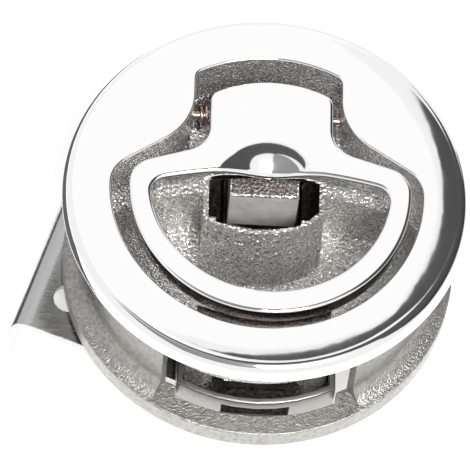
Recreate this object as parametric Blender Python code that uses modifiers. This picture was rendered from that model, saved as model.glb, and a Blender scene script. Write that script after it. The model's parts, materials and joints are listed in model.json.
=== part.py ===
"""Flush pull latch for a hatch or locker door, cast and polished stainless steel.

The origin lies on the body's axis, in the back plane of the flange. +Z points out of the panel,
+Y to the nose of the bolt. All sizes are in metres.
"""
import math

import bmesh
import bpy
from mathutils import Matrix, Vector

# Clearances
GAP = 0.0003

# Flange
FLANGE_OVERHANG = 0.00575
FLANGE_EDGE_HEIGHT = 0.0037
FLANGE_EDGE_ROLL = 0.00195
FLANGE_MID_HEIGHT = 0.0015
FLANGE_BACK_TUCK = 0.00075
FACE_HEIGHT = 0.0042
FACE_CROWN_WIDTH = 0.00715

# Body of the housing
BODY_RADIUS = 0.0260
BODY_STRAIGHT = 0.0100
BODY_DEPTH = 0.0180
BODY_FLOOR_RADIUS = 0.0140

# Recess in the face
RECESS_WALL = 0.0018
RECESS_CORNER = 0.0050
RECESS_EDGE = 0.00035
SHELF_DEPTH = 0.0045
NOTCH_HALF_WIDTH = 0.0115
NOTCH_WALL = 0.0026
NOTCH_CORNER = 0.0015
NOTCH_DEPTH = 0.0105
NOTCH_FRONT_TO_PIN = 0.0037
SHOULDER_RADIUS = 0.0100
SHOULDER_PAST_PIN = 0.0003
DRAFT = 0.0002

# Finger bowl
BOWL_WALL = 0.0021
BOWL_STRAIGHT = 0.0042
BOWL_FLOOR = 0.0020
BOWL_FLOOR_RADIUS = 0.0120
BOWL_BACK = 0.0046
BOWL_BACK_RADIUS = 0.0600
BOWL_BACK_CORNER = 0.0040

# Crescent wall in front of the bolt, and the pocket behind it
WALL_X = -0.0008
WALL_FRONT = 0.0031
WALL_HALF_WIDTH = 0.0086
WALL_CORNER_Y = 0.0005
WALL_THICKNESS = 0.0008
WALL_TOP = 0.0049
WALL_LEAN = 0.0036
CREVICE_HALF_WIDTH = 0.0067
CREVICE_BACK = 0.0004
POCKET_HALF_WIDTH = 0.0087
POCKET_BACK = 0.0142
REAR_GUIDE_WALL = 0.0024

# Rest ledge under the front of the handle
LEDGE_WIDTH = 0.0035
LEDGE_RADIUS = 0.0300
LEDGE_HALF_WIDTH = 0.0103
LEDGE_HEIGHT = 0.0005

# Shoulder cores
CORE_INNER_X = 0.0134
CORE_FRONT = 0.0065
CORE_WALL = 0.0024
CORE_DEPTH = 0.0075

# Pivot pin
PIN_Z = -0.0018
PIN_RADIUS = 0.00075
PIN_END_INSET = 0.00083617

# Handle
HANDLE_X = 0.0005
HANDLE_Y = 0.0004
HANDLE_TO_RECESS = 0.0022
HANDLE_CORNER = 0.0045
HANDLE_THICKNESS = 0.0034
HANDLE_EDGE = 0.0004
HANDLE_BAND = 0.0034
GRIP_Y = 0.0009
GRIP_TOP = 0.0033
GRIP_TOP_RADIUS = 0.0700
GRIP_CORNER = 0.0025
HUB_HALF_WIDTH = 0.0097
HUB_FILLET = 0.0045
HUB_FILLET_TO_PIN = 0.0053
HUB_TO_NOTCH = 0.0040
HUB_CORNER = 0.0020
BARREL_RADIUS = 0.0032
LIP_RADIUS = 0.0101
LIP_Y = -0.0005
LIP_DROP = 0.0024
LIP_REACH = 0.0063
LUG_HALF_WIDTH = 0.0060
LUG_TO_BLOCK = 0.0006
LUG_CLEARANCE = 0.0005
LUG_RADIUS = 0.0022

# Torsion spring of the handle, with the ear that holds its leg
HANDLE_SPRING_WIRE = 0.0003
HANDLE_SPRING_RADIUS = 0.00145
HANDLE_SPRING_TURNS = 1.75
HANDLE_SPRING_PITCH = 0.00075
EAR_WIDTH = 0.0019
EAR_LENGTH = 0.0046
EAR_TO_PIN = 0.0021
EAR_TOP = 0.0028

# Bolt
BOLT_TRAVEL = 0.0042
BLOCK_HALF_WIDTH = 0.0055
BLOCK_FRONT = 0.0034
BLOCK_BACK = 0.0084
BLOCK_TOP = 0.0045
BLOCK_SLOPE = 0.0019
BAR_HALF_WIDTH = 0.00625
BAR_HEIGHT = 0.0045
NOSE_PROJECTION = 0.0120
NOSE_BEVEL = 0.0060
NOSE_TIP = 0.0015
NOSE_CHAMFER = 0.0006
TONGUE_HALF_WIDTH = 0.00505
TONGUE_THICKNESS = 0.0022
TONGUE_INSET = 0.0050
WINDOW_HALF_WIDTH = 0.0018
WINDOW_END_WALL = 0.0022
WINDOW_BACK = 0.0020

# Compression spring of the bolt
BOLT_SPRING_WIRE = 0.00025
BOLT_SPRING_RADIUS = 0.00105
BOLT_SPRING_TURNS = 7

# Back cover
COVER_HALF_WIDTH = 0.0125
COVER_HEIGHT = 0.0057
COVER_FLOOR = 0.0008
COVER_WALL = 0.0009
COVER_EDGE = 0.0003
TROUGH_BACK = 0.0110
SLOT_HEIGHT = 0.0030
PEG_WIDTH = 0.0024
PEG_THICKNESS = 0.0012
PEG_TO_WINDOW = 0.0007
PEG_HEIGHT = 0.0026
COVER_SCREW_X = 0.0089
COVER_SCREW_INSET = 0.0080
COVER_SCREW_RADIUS = 0.0013
COVER_SCREW_HEAD = 0.0025
COVER_SCREW_HEAD_HEIGHT = 0.0013
COVER_SCREW_LENGTH = 0.0084
COVER_PAD_WALL = 0.0010

# Clamp ring
RING_CLEARANCE = 0.0005
RING_WALL = 0.0015
RING_BELOW_BODY = 0.0046
BRIM_HEIGHT = 0.0039
BRIM_EDGE = 0.0003
COVE_RADIUS = 0.0032
WINDOW_ANGLE = 32.5
WINDOW_STEP_ANGLE = 31.5
LUG_SCREW_INSET = 0.0050
RING_LUG_HALF_WIDTH = 0.0045
RING_LUG_THICKNESS = 0.0030
CLAMP_SCREW_RADIUS = 0.0020
CLAMP_SCREW_HEAD = 0.0040
CLAMP_SCREW_HEAD_HEIGHT = 0.0020
CLAMP_SCREW_LENGTH = 0.0075
SCREW_BOSS_WALL = 0.0013
HOLE_SPARE_DEPTH = 0.0004
SOCKET_SHARE = 0.5
SOCKET_SIDES = 6
TIP_SHARE = 0.33

# Strike plate
PLATE_TURN = -17.2
PLATE_LEAN = 6.3
PLATE_THICKNESS = 0.0015
PLATE_BEND = 0.0030
PLATE_LENGTH = 0.0320
PLATE_WIDTH = 0.0380
PLATE_LEG = 0.0127
PLATE_OVERHANG = 0.00258
PLATE_FRONT_REACH = 0.02172
PLATE_HOLE_RADIUS = 0.0024
PLATE_HOLE_INSET = 0.0070

# Facets
TURN_STEPS = 60
SMALL_STEPS = 16
ARC_STEPS = 8
ROLL_STEPS = 6
TUCK_STEPS = 4
BEND_STEPS = 5
CROWN_STEPS = 4
COIL_STEPS = 16
SPRING_STEPS = 12
WIRE_STEPS = 2

# Places worked out from the sizes above: flange, recess and bowl round the body
FLANGE_RADIUS = BODY_RADIUS + FLANGE_OVERHANG
FLANGE_BACK_RADIUS = FLANGE_RADIUS - FLANGE_BACK_TUCK
FACE_FLAT_RADIUS = FLANGE_RADIUS - FACE_CROWN_WIDTH
RECESS_RADIUS = BODY_RADIUS - RECESS_WALL
NOTCH_RADIUS = BODY_RADIUS - NOTCH_WALL
BOWL_RADIUS = BODY_RADIUS - BOWL_WALL
BOWL_DEPTH = BODY_DEPTH - BOWL_FLOOR
CORE_RADIUS = BODY_RADIUS - CORE_WALL
LEDGE_INNER = RECESS_RADIUS - LEDGE_WIDTH

# Handle in its recess, pin in the hub, and what lies beside the pin
HANDLE_RADIUS = RECESS_RADIUS - HANDLE_TO_RECESS
HANDLE_BOTTOM = FACE_HEIGHT - HANDLE_THICKNESS
GRIP_RADIUS = HANDLE_RADIUS - HANDLE_BAND
HUB_LEFT = HANDLE_X - HUB_HALF_WIDTH
HUB_RIGHT = HANDLE_X + HUB_HALF_WIDTH
HUB_BACK_RADIUS = NOTCH_RADIUS - HUB_TO_NOTCH
PIN_Y = HUB_BACK_RADIUS - BARREL_RADIUS
PIN_HALF_LENGTH = math.sqrt(BODY_RADIUS ** 2 - PIN_Y ** 2) - PIN_END_INSET
HUB_FILLET_Y = PIN_Y - HUB_FILLET_TO_PIN
SHOULDER_TOP = PIN_Y + SHOULDER_PAST_PIN
NOTCH_FRONT = PIN_Y - NOTCH_FRONT_TO_PIN
EAR_BACK = PIN_Y - EAR_TO_PIN
EAR_FRONT = EAR_BACK - EAR_LENGTH

# Bolt under the pocket, with the lug behind its upright
BAR_TOP = -BODY_DEPTH + BAR_HEIGHT
POCKET_DEPTH = -BAR_TOP - GAP
LUG_FORWARD = PIN_Y - LUG_RADIUS - LUG_TO_BLOCK - BLOCK_BACK
LUG_DROP = PIN_Z - LUG_RADIUS - LUG_CLEARANCE - BAR_TOP
NOSE_REACH = BODY_RADIUS + NOSE_PROJECTION
TONGUE_FRONT = BODY_RADIUS - TONGUE_INSET
WINDOW_FRONT = TONGUE_FRONT - WINDOW_END_WALL
PEG_FRONT = WINDOW_FRONT - PEG_TO_WINDOW

# Cover below the body, and the ring round it
COVER_TOP = -BODY_DEPTH - GAP
COVER_BOTTOM = COVER_TOP - COVER_HEIGHT
TROUGH_FLOOR = COVER_BOTTOM + COVER_FLOOR
COVER_SCREW_Y = BODY_RADIUS - COVER_SCREW_INSET
RING_INNER = BODY_RADIUS + RING_CLEARANCE
RING_OUTER = RING_INNER + RING_WALL
RING_BOTTOM = BODY_DEPTH + RING_BELOW_BODY
BRIM_RADIUS = RING_OUTER + COVE_RADIUS
BRIM_TOP = -RING_BOTTOM + BRIM_HEIGHT
RING_LUG_TOP = -RING_BOTTOM + RING_LUG_THICKNESS
LUG_SCREW_X = RING_INNER - LUG_SCREW_INSET

# Overlap of joined shapes, and a length past every piece
OVERLAP = 0.0005
FAR = 0.0400


def clear_scene():
    """Empty the file of the objects it opened with."""
    for item in list(bpy.data.objects):
        bpy.data.objects.remove(item, do_unlink=True)


def make_collection(name):
    """Add one collection to the scene."""
    group = bpy.data.collections.new(name)
    bpy.context.scene.collection.children.link(group)
    return group


clear_scene()
PARTS = make_collection("flush_pull_latch")
TOOLS = make_collection("cutters")


def make_material(name, colour, roughness, metallic):
    """Give back a plain Principled material."""
    material = bpy.data.materials.new(name)
    material.use_nodes = True
    shader = material.node_tree.nodes["Principled BSDF"]
    shader.inputs["Base Color"].default_value = (*colour, 1.0)
    shader.inputs["Roughness"].default_value = roughness
    shader.inputs["Metallic"].default_value = metallic
    material.diffuse_color = (*colour, 1.0)
    return material


def arc(x, y, radius, start, end, steps=ARC_STEPS):
    """Points on an arc about (x, y), from start to end in degrees."""
    points = []
    for i in range(steps + 1):
        angle = math.radians(start + (end - start) * i / steps)
        points.append((x + radius * math.cos(angle), y + radius * math.sin(angle)))
    return points


def mirror_path(half, x=0.0):
    """Close a right half, drawn from bottom to top, with its mirror image about the line x."""
    left = [(2 * x - px, py) for px, py in reversed(half)]
    return half + [p for p in left if abs(p[0] - x) > GAP / 10]


def angle_of(x, y):
    """Direction of a vector in degrees."""
    return math.degrees(math.atan2(y, x))


def cross_tangent(x1, y1, r1, x2, y2, r2):
    """Direction, in degrees, of the normal of the line that runs between two circles."""
    dx = x2 - x1
    dy = y2 - y1
    return angle_of(dx, dy) - math.degrees(math.acos((r1 + r2) / math.hypot(dx, dy)))


def mesh_from_curve(curve_object, name, group):
    """Turn a curve object into a closed mesh object and remove the curve."""
    bpy.context.view_layer.update()
    graph = bpy.context.evaluated_depsgraph_get()
    mesh = bpy.data.meshes.new_from_object(curve_object.evaluated_get(graph))
    shape = bmesh.new()
    shape.from_mesh(mesh)
    bmesh.ops.remove_doubles(shape, verts=shape.verts, dist=0.000001)
    bmesh.ops.dissolve_limit(shape, angle_limit=math.radians(0.1), verts=shape.verts, edges=shape.edges)
    shape.to_mesh(mesh)
    shape.free()
    place = curve_object.matrix_world.copy()
    bpy.data.objects.remove(curve_object, do_unlink=True)
    mesh.name = name
    result = bpy.data.objects.new(name, mesh)
    group.objects.link(result)
    result.matrix_world = place
    return result


def plate(name, outlines, low, high, group=None, bevel=0.0, place=None, bevel_steps=1):
    """Extrude flat outlines from low to high along their normal, with an optional edge bevel."""
    group = group or TOOLS
    curve = bpy.data.curves.new(name, "CURVE")
    curve.dimensions = "2D"
    curve.fill_mode = "BOTH"
    curve.extrude = (high - low) / 2 - bevel
    curve.bevel_depth = bevel
    curve.bevel_resolution = bevel_steps
    curve.offset = -bevel
    for outline in outlines:
        spline = curve.splines.new("POLY")
        spline.points.add(len(outline) - 1)
        for point, (x, y) in zip(spline.points, outline):
            point.co = (x, y, 0.0, 1.0)
        spline.use_cyclic_u = True
    item = bpy.data.objects.new(name, curve)
    group.objects.link(item)
    frame = place or Matrix.Identity(4)
    item.matrix_world = frame @ Matrix.Translation((0.0, 0.0, (high + low) / 2))
    return mesh_from_curve(item, name, group)


SIDE_VIEW = Matrix(((0.0, 0.0, 1.0, 0.0), (1.0, 0.0, 0.0, 0.0), (0.0, 1.0, 0.0, 0.0), (0.0, 0.0, 0.0, 1.0)))


def side_plate(name, outline, low, high, group=None):
    """Extrude an outline drawn in Y and Z from x = low to x = high."""
    return plate(name, [outline], low, high, group, place=SIDE_VIEW)


def block(name, x0, x1, y0, y1, z0, z1, group=None):
    """Box between two corners."""
    shape = bmesh.new()
    bmesh.ops.create_cube(shape, size=1.0)
    bmesh.ops.scale(shape, vec=(x1 - x0, y1 - y0, z1 - z0), verts=shape.verts)
    bmesh.ops.translate(shape, vec=((x0 + x1) / 2, (y0 + y1) / 2, (z0 + z1) / 2), verts=shape.verts)
    return object_from(shape, name, group or TOOLS)


def object_from(shape, name, group):
    """Make an object of a bmesh."""
    mesh = bpy.data.meshes.new(name)
    shape.to_mesh(mesh)
    shape.free()
    item = bpy.data.objects.new(name, mesh)
    group.objects.link(item)
    return item


def rod(name, x, y, z0, z1, radius, group=None, top_radius=None, steps=SMALL_STEPS):
    """Upright cylinder or cone, with radius at z0 and top_radius at z1."""
    shape = bmesh.new()
    bmesh.ops.create_cone(shape, cap_ends=True, segments=steps, radius1=radius,
                          radius2=radius if top_radius is None else top_radius, depth=z1 - z0)
    bmesh.ops.translate(shape, vec=(x, y, (z0 + z1) / 2), verts=shape.verts)
    return object_from(shape, name, group or TOOLS)


def cross_rod(name, x0, x1, y, z, radius, group=None):
    """Cylinder along X."""
    shape = bmesh.new()
    bmesh.ops.create_cone(shape, cap_ends=True, segments=SMALL_STEPS, radius1=radius, radius2=radius,
                          depth=x1 - x0)
    bmesh.ops.rotate(shape, cent=(0, 0, 0), matrix=Matrix.Rotation(math.pi / 2, 3, "Y"), verts=shape.verts)
    bmesh.ops.translate(shape, vec=((x0 + x1) / 2, y, z), verts=shape.verts)
    return object_from(shape, name, group or TOOLS)


def turned(name, profile, group=None, closed=False, x=0.0, y=0.0, steps=TURN_STEPS):
    """Revolve a profile of (radius, z) about an upright axis through (x, y)."""
    mesh = bpy.data.meshes.new(name)
    count = len(profile)
    edges = [(i, i + 1) for i in range(count - 1)]
    if closed:
        edges.append((count - 1, 0))
    mesh.from_pydata([(r, 0.0, z) for r, z in profile], edges, [])
    item = bpy.data.objects.new(name, mesh)
    (group or TOOLS).objects.link(item)
    item.location = (x, y, 0.0)
    screw = item.modifiers.new("turn", "SCREW")
    screw.steps = steps
    screw.render_steps = steps
    screw.use_merge_vertices = True
    screw.merge_threshold = 0.000001
    screw.use_smooth_shade = True
    return item


def combine(item, tool, operation):
    """Add one Boolean to an object, with its tool shown as a wire."""
    tool.hide_render = True
    tool.display_type = "WIRE"
    change = item.modifiers.new(tool.name, "BOOLEAN")
    change.operation = operation
    change.solver = "EXACT"
    change.object = tool


def cut(item, tool):
    """Take the tool's shape out of an object."""
    combine(item, tool, "DIFFERENCE")


def join(item, tool):
    """Make the tool's shape one body with an object."""
    combine(item, tool, "UNION")


def keep(item, tool):
    """Keep only what lies inside the tool's shape."""
    combine(item, tool, "INTERSECT")


def wire(name, points, radius, group=None):
    """Round wire along a list of points, as a closed mesh."""
    curve = bpy.data.curves.new(name, "CURVE")
    curve.dimensions = "3D"
    curve.bevel_depth = radius
    curve.bevel_resolution = WIRE_STEPS
    curve.use_fill_caps = True
    spline = curve.splines.new("POLY")
    spline.points.add(len(points) - 1)
    for point, place in zip(spline.points, points):
        point.co = (*place, 1.0)
    item = bpy.data.objects.new(name, curve)
    (group or PARTS).objects.link(item)
    return mesh_from_curve(item, name, group or PARTS)


def finish(item, material, smooth=True, sharp=35.0):
    """Give a part its material and its shading."""
    item.data.materials.clear()
    item.data.materials.append(material)
    if smooth:
        item.data.shade_smooth()
        item.data.set_sharp_from_angle(angle=math.radians(sharp))
    return item


def recess_outline(grow=0.0):
    """Round recess with two shoulders and the notch for the hub, larger by grow all round."""
    radius = RECESS_RADIUS + grow
    corner = RECESS_CORNER + grow
    corner_x = RECESS_RADIUS - RECESS_CORNER
    shoulder = SHOULDER_RADIUS - grow
    shoulder_x = NOTCH_HALF_WIDTH + SHOULDER_RADIUS
    lean = cross_tangent(corner_x, 0.0, corner, shoulder_x, SHOULDER_TOP, shoulder)
    half = arc(0.0, 0.0, radius, -90.0, 0.0, 2 * ARC_STEPS)
    half += arc(corner_x, 0.0, corner, 0.0, lean)[1:]
    half += arc(shoulder_x, SHOULDER_TOP, shoulder, 180.0 + lean, 180.0)
    return mirror_path(half + notch_end(NOTCH_HALF_WIDTH + grow, NOTCH_RADIUS + grow, NOTCH_CORNER + grow))


def notch_end(half_width, radius, corner, x=0.0):
    """Right half of an end that is closed by an arc about the body's axis."""
    side = half_width - corner
    reach = radius - corner
    top = math.sqrt(reach ** 2 - (x + side) ** 2)
    turn = angle_of(x + side, top)
    points = arc(x + side, top, corner, 0.0, turn, ARC_STEPS // 2)
    middle = angle_of(x, math.sqrt(radius ** 2 - x ** 2))
    return points + arc(0.0, 0.0, radius, turn, middle)[1:]


def d_outline(x, y, radius, top, top_radius, corner):
    """Round opening with a flatter arc across its top, and rounded corners between the two."""
    reach = radius - corner
    top_reach = top_radius - corner
    top_y = top - top_radius
    span = y - top_y
    rise = (top_reach ** 2 - reach ** 2 - span ** 2) / (2 * span)
    side = math.sqrt(reach ** 2 - rise ** 2)
    low = angle_of(side, rise)
    high = angle_of(side, rise + span)
    half = arc(x, y, radius, -90.0, low, 2 * ARC_STEPS)
    half += arc(x + side, y + rise, corner, low, high, ARC_STEPS // 2)[1:]
    half += arc(x, top_y, top_radius, high, 90.0, ARC_STEPS)[1:]
    return mirror_path(half, x)


def arc_across(x, front, half_width, back):
    """Arc that bulges to -Y, from its middle to its ends, where it has come back to y = back."""
    drop = front + back
    radius = (half_width ** 2 + drop ** 2) / (2 * drop)
    turn = math.degrees(math.asin(half_width / radius))
    return arc(x, radius - front, radius, -90.0 - turn, -90.0 + turn, 2 * ARC_STEPS)


def wall_outline(shift):
    """Outer face of the crescent wall, moved to the front by shift, and its sides to the bowl's back."""
    side = POCKET_HALF_WIDTH + WALL_THICKNESS
    front = arc_across(WALL_X, WALL_FRONT, WALL_HALF_WIDTH, -WALL_CORNER_Y)
    left_step = side + front[0][0]
    right_step = side - front[-1][0]
    front = [(-side, -WALL_CORNER_Y + left_step)] + front + [(side, -WALL_CORNER_Y + right_step)]
    back = BOWL_BACK + OVERLAP
    return [(x, y - shift) for x, y in front] + [(side, back), (-side, back)]


def pocket_outline():
    """Crevice behind the crescent wall, and the wider pocket of the bolt's upright behind that."""
    front = WALL_FRONT - WALL_THICKNESS
    outer = arc_across(WALL_X, WALL_FRONT, WALL_HALF_WIDTH, -WALL_CORNER_Y)
    crevice = arc_across(WALL_X, front, CREVICE_HALF_WIDTH, -CREVICE_BACK - WALL_THICKNESS)
    left = WALL_X - CREVICE_HALF_WIDTH
    right = WALL_X + CREVICE_HALF_WIDTH
    step = outer[-1][0] - WALL_THICKNESS
    slant = POCKET_HALF_WIDTH - step
    crevice = [(left, -CREVICE_BACK)] + crevice + [(right, -CREVICE_BACK)]
    return crevice + [(step, -CREVICE_BACK), (POCKET_HALF_WIDTH, -CREVICE_BACK + slant),
                      (POCKET_HALF_WIDTH, POCKET_BACK), (-POCKET_HALF_WIDTH, POCKET_BACK),
                      (-POCKET_HALF_WIDTH, -CREVICE_BACK)]


def lofted(name, low_outline, high_outline, low, high):
    """Solid between two flat outlines of as many points each, at z = low and z = high."""
    shape = bmesh.new()
    bottom = [shape.verts.new((x, y, low)) for x, y in low_outline]
    top = [shape.verts.new((x, y, high)) for x, y in high_outline]
    shape.faces.new(bottom[::-1])
    shape.faces.new(top)
    for i in range(len(top)):
        shape.faces.new((bottom[i - 1], bottom[i], top[i], top[i - 1]))
    return object_from(shape, name, TOOLS)


# Housing: flange, body and bowl cast in one piece
def outer_profile():
    """Face, rolled edge, back plane and bowl-shaped body of the housing."""
    edge_x = FLANGE_RADIUS - FLANGE_EDGE_ROLL
    drop = FACE_HEIGHT - FLANGE_EDGE_HEIGHT
    points = [(0.0, FACE_HEIGHT)]
    for i in range(CROWN_STEPS):
        share = i / CROWN_STEPS
        radius = FACE_FLAT_RADIUS + (edge_x - FACE_FLAT_RADIUS) * share
        points.append((radius, FACE_HEIGHT - drop * share ** 2))
    rise = FLANGE_EDGE_HEIGHT - FLANGE_MID_HEIGHT
    for x, z in arc(0.0, 0.0, 1.0, 90.0, 0.0, ROLL_STEPS):
        points.append((edge_x + FLANGE_EDGE_ROLL * x, FLANGE_MID_HEIGHT + rise * z))
    tuck = FLANGE_RADIUS - FLANGE_BACK_RADIUS
    for x, z in arc(0.0, 0.0, 1.0, 0.0, -90.0, TUCK_STEPS)[1:]:
        points.append((FLANGE_BACK_RADIUS + tuck * x, FLANGE_MID_HEIGHT * (1.0 + z)))
    points.append((BODY_RADIUS, 0.0))
    for x, z in arc(0.0, 0.0, 1.0, 0.0, -90.0):
        points.append((BODY_FLOOR_RADIUS + (BODY_RADIUS - BODY_FLOOR_RADIUS) * x,
                       -BODY_STRAIGHT + (BODY_DEPTH - BODY_STRAIGHT) * z))
    points.append((0.0, -BODY_DEPTH))
    return points


def bowl_profile():
    """Finger bowl below the shelf, as a cutter."""
    points = [(0.0, -SHELF_DEPTH + OVERLAP), (BOWL_RADIUS, -SHELF_DEPTH + OVERLAP)]
    for x, z in arc(0.0, 0.0, 1.0, 0.0, -90.0):
        points.append((BOWL_FLOOR_RADIUS + (BOWL_RADIUS - BOWL_FLOOR_RADIUS) * x,
                       -BOWL_STRAIGHT + (BOWL_DEPTH - BOWL_STRAIGHT) * z))
    points.append((0.0, -BOWL_DEPTH))
    return points


def countersunk_hole(name, x, y, radius, head, head_height, face, depth):
    """Cutter for a screw that enters from below, with its head flush at face."""
    profile = [(0.0, face + depth), (radius + GAP, face + depth), (radius + GAP, face + head_height + GAP),
               (head + GAP, face + GAP), (head + GAP, face - OVERLAP), (0.0, face - OVERLAP)]
    return turned(name, profile, x=x, y=y, steps=SMALL_STEPS)


def build_housing():
    """Housing with its recess, bowl, crescent wall, pocket, notch, cores, holes, ledge and ear."""
    steel = make_material("cast_stainless", (0.78, 0.77, 0.76), 0.22, 1.0)
    body = turned("housing", outer_profile(), PARTS)

    rear_half_width = BAR_HALF_WIDTH + GAP + REAR_GUIDE_WALL
    rear_radius = BODY_RADIUS - DRAFT
    rear_turn = math.degrees(math.asin(rear_half_width / rear_radius))
    rear = [(-rear_half_width, POCKET_BACK), (rear_half_width, POCKET_BACK)]
    rear += arc(0.0, 0.0, rear_radius, 90.0 - rear_turn, 90.0 + rear_turn)
    join(body, plate("rear_guide", [rear], -BODY_DEPTH, -BODY_STRAIGHT + OVERLAP))

    for side in (-1, 1):
        join(body, rod(f"screw_boss_{side}", side * LUG_SCREW_X, 0.0, -BODY_DEPTH, -BODY_STRAIGHT,
                       CLAMP_SCREW_RADIUS + GAP + SCREW_BOSS_WALL))
        for end in (-1, 1):
            join(body, rod(f"cover_pad_{side}_{end}", side * COVER_SCREW_X, end * COVER_SCREW_Y, -BODY_DEPTH,
                           -BOWL_DEPTH + OVERLAP, COVER_SCREW_RADIUS + GAP + COVER_PAD_WALL))

    cut(body, plate("recess", [recess_outline()], -SHELF_DEPTH, FACE_HEIGHT - RECESS_EDGE / 2))
    cut(body, plate("recess_edge", [recess_outline(2 * RECESS_EDGE)], FACE_HEIGHT - 2 * RECESS_EDGE,
                    2 * FACE_HEIGHT, bevel=3 * RECESS_EDGE, bevel_steps=0))

    bowl = turned("bowl", bowl_profile())
    keep(bowl, plate("bowl_outline", [d_outline(0.0, 0.0, BOWL_RADIUS + OVERLAP, BOWL_BACK, BOWL_BACK_RADIUS,
                                                BOWL_BACK_CORNER)], -BODY_DEPTH, FACE_HEIGHT))
    cut(body, bowl)

    foot = wall_outline(WALL_LEAN)
    join(body, lofted("crescent_wall", foot, wall_outline(0.0), -BOWL_DEPTH - OVERLAP, -WALL_TOP))
    cut(body, plate("pocket", [pocket_outline()], -POCKET_DEPTH, FACE_HEIGHT / 2))
    notch = mirror_path([(0.0, NOTCH_FRONT), (NOTCH_HALF_WIDTH - DRAFT, NOTCH_FRONT)]
                        + notch_end(NOTCH_HALF_WIDTH - DRAFT, NOTCH_RADIUS - DRAFT, NOTCH_CORNER))
    cut(body, plate("notch", [notch], -NOTCH_DEPTH, FACE_HEIGHT / 2))
    tunnel_front = BLOCK_FRONT - BOLT_TRAVEL - GAP
    cut(body, block("tunnel", -BAR_HALF_WIDTH - GAP, BAR_HALF_WIDTH + GAP, tunnel_front, FAR,
                    -BODY_DEPTH - OVERLAP, -POCKET_DEPTH + OVERLAP / 5))

    cut(body, cross_rod("pin_hole", -FAR, FAR, PIN_Y, PIN_Z, PIN_RADIUS + GAP))
    for side in (-1, 1):
        depth = CLAMP_SCREW_LENGTH - RING_BOTTOM + BODY_DEPTH + HOLE_SPARE_DEPTH
        cut(body, rod(f"clamp_hole_{side}", side * LUG_SCREW_X, 0.0, -BODY_DEPTH - OVERLAP,
                      -BODY_DEPTH + depth, CLAMP_SCREW_RADIUS + GAP))
        for end in (-1, 1):
            top = COVER_BOTTOM + COVER_SCREW_LENGTH + HOLE_SPARE_DEPTH
            cut(body, rod(f"cover_hole_{side}_{end}", side * COVER_SCREW_X, end * COVER_SCREW_Y,
                          -BODY_DEPTH - OVERLAP, top, COVER_SCREW_RADIUS + GAP))
        low = angle_of(math.sqrt(CORE_RADIUS ** 2 - CORE_FRONT ** 2), CORE_FRONT)
        high = angle_of(CORE_INNER_X, math.sqrt(CORE_RADIUS ** 2 - CORE_INNER_X ** 2))
        core = [(CORE_INNER_X, CORE_FRONT)] + arc(0.0, 0.0, CORE_RADIUS, low, high)
        core = [(side * x, y) for x, y in core]
        cut(body, plate(f"shoulder_core_{side}", [core], -BODY_DEPTH - OVERLAP, -CORE_DEPTH))

    ledge_turn = math.degrees(math.asin(LEDGE_HALF_WIDTH / LEDGE_RADIUS))
    wall_turn = math.degrees(math.asin(LEDGE_HALF_WIDTH / (RECESS_RADIUS + OVERLAP)))
    ledge = arc(0.0, LEDGE_RADIUS - LEDGE_INNER, LEDGE_RADIUS, -90.0 + ledge_turn, -90.0 - ledge_turn)
    ledge += arc(0.0, 0.0, RECESS_RADIUS + OVERLAP, -90.0 - wall_turn, -90.0 + wall_turn)
    join(body, plate("rest_ledge", [ledge], -SHELF_DEPTH - BOWL_STRAIGHT, LEDGE_HEIGHT))

    ear_left = -NOTCH_HALF_WIDTH - OVERLAP
    join(body, block("ear", ear_left, ear_left + OVERLAP + EAR_WIDTH, EAR_FRONT, EAR_BACK,
                     -NOTCH_DEPTH - OVERLAP, -EAR_TOP))

    for change in body.modifiers:
        if change.type == "BOOLEAN":
            change.solver = "MANIFOLD"
    return finish(body, steel)


# Handle: ring band, arms, hub, barrel on the pin, and the lug that draws the bolt
def handle_outline():
    corner_x = HANDLE_X + HANDLE_RADIUS - HANDLE_CORNER
    fillet_x = HUB_RIGHT + HUB_FILLET
    lean = cross_tangent(corner_x, HANDLE_Y, HANDLE_CORNER, fillet_x, HUB_FILLET_Y, HUB_FILLET)
    half = arc(HANDLE_X, HANDLE_Y, HANDLE_RADIUS, -90.0, 0.0, 3 * ARC_STEPS)
    half += arc(corner_x, HANDLE_Y, HANDLE_CORNER, 0.0, lean)[1:]
    half += arc(fillet_x, HUB_FILLET_Y, HUB_FILLET, 180.0 + lean, 180.0)
    back_y = math.sqrt((HUB_BACK_RADIUS - HUB_CORNER) ** 2 - (HUB_HALF_WIDTH - HUB_CORNER) ** 2)
    turn = angle_of(HUB_HALF_WIDTH - HUB_CORNER, back_y)
    half += arc(HUB_RIGHT - HUB_CORNER, back_y, HUB_CORNER, 0.0, turn, ARC_STEPS // 2)
    half += arc(HANDLE_X, 0.0, HUB_BACK_RADIUS, turn, 90.0)[1:]
    return mirror_path(half, HANDLE_X)


def lip_profile():
    """Convex roll from the top face of the hub down to its front lip, as a cutter."""
    points = [(0.0, FACE_HEIGHT + OVERLAP), (LIP_RADIUS + LIP_REACH / ARC_STEPS, FACE_HEIGHT + OVERLAP)]
    for i in range(-1, ARC_STEPS + 1):
        share = i / ARC_STEPS
        points.append((LIP_RADIUS - LIP_REACH * share, FACE_HEIGHT - LIP_DROP * share * abs(share)))
    points.append((0.0, FACE_HEIGHT - LIP_DROP))
    return points


def hub_end():
    """Rear of the hub, a little within its side faces."""
    side = HUB_HALF_WIDTH - HANDLE_EDGE
    half = [(0.0, GRIP_TOP), (side, GRIP_TOP)]
    half += notch_end(side, HUB_BACK_RADIUS - HANDLE_EDGE, HUB_CORNER - HANDLE_EDGE)
    return [(x + HANDLE_X, y) for x, y in mirror_path(half)]


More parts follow.
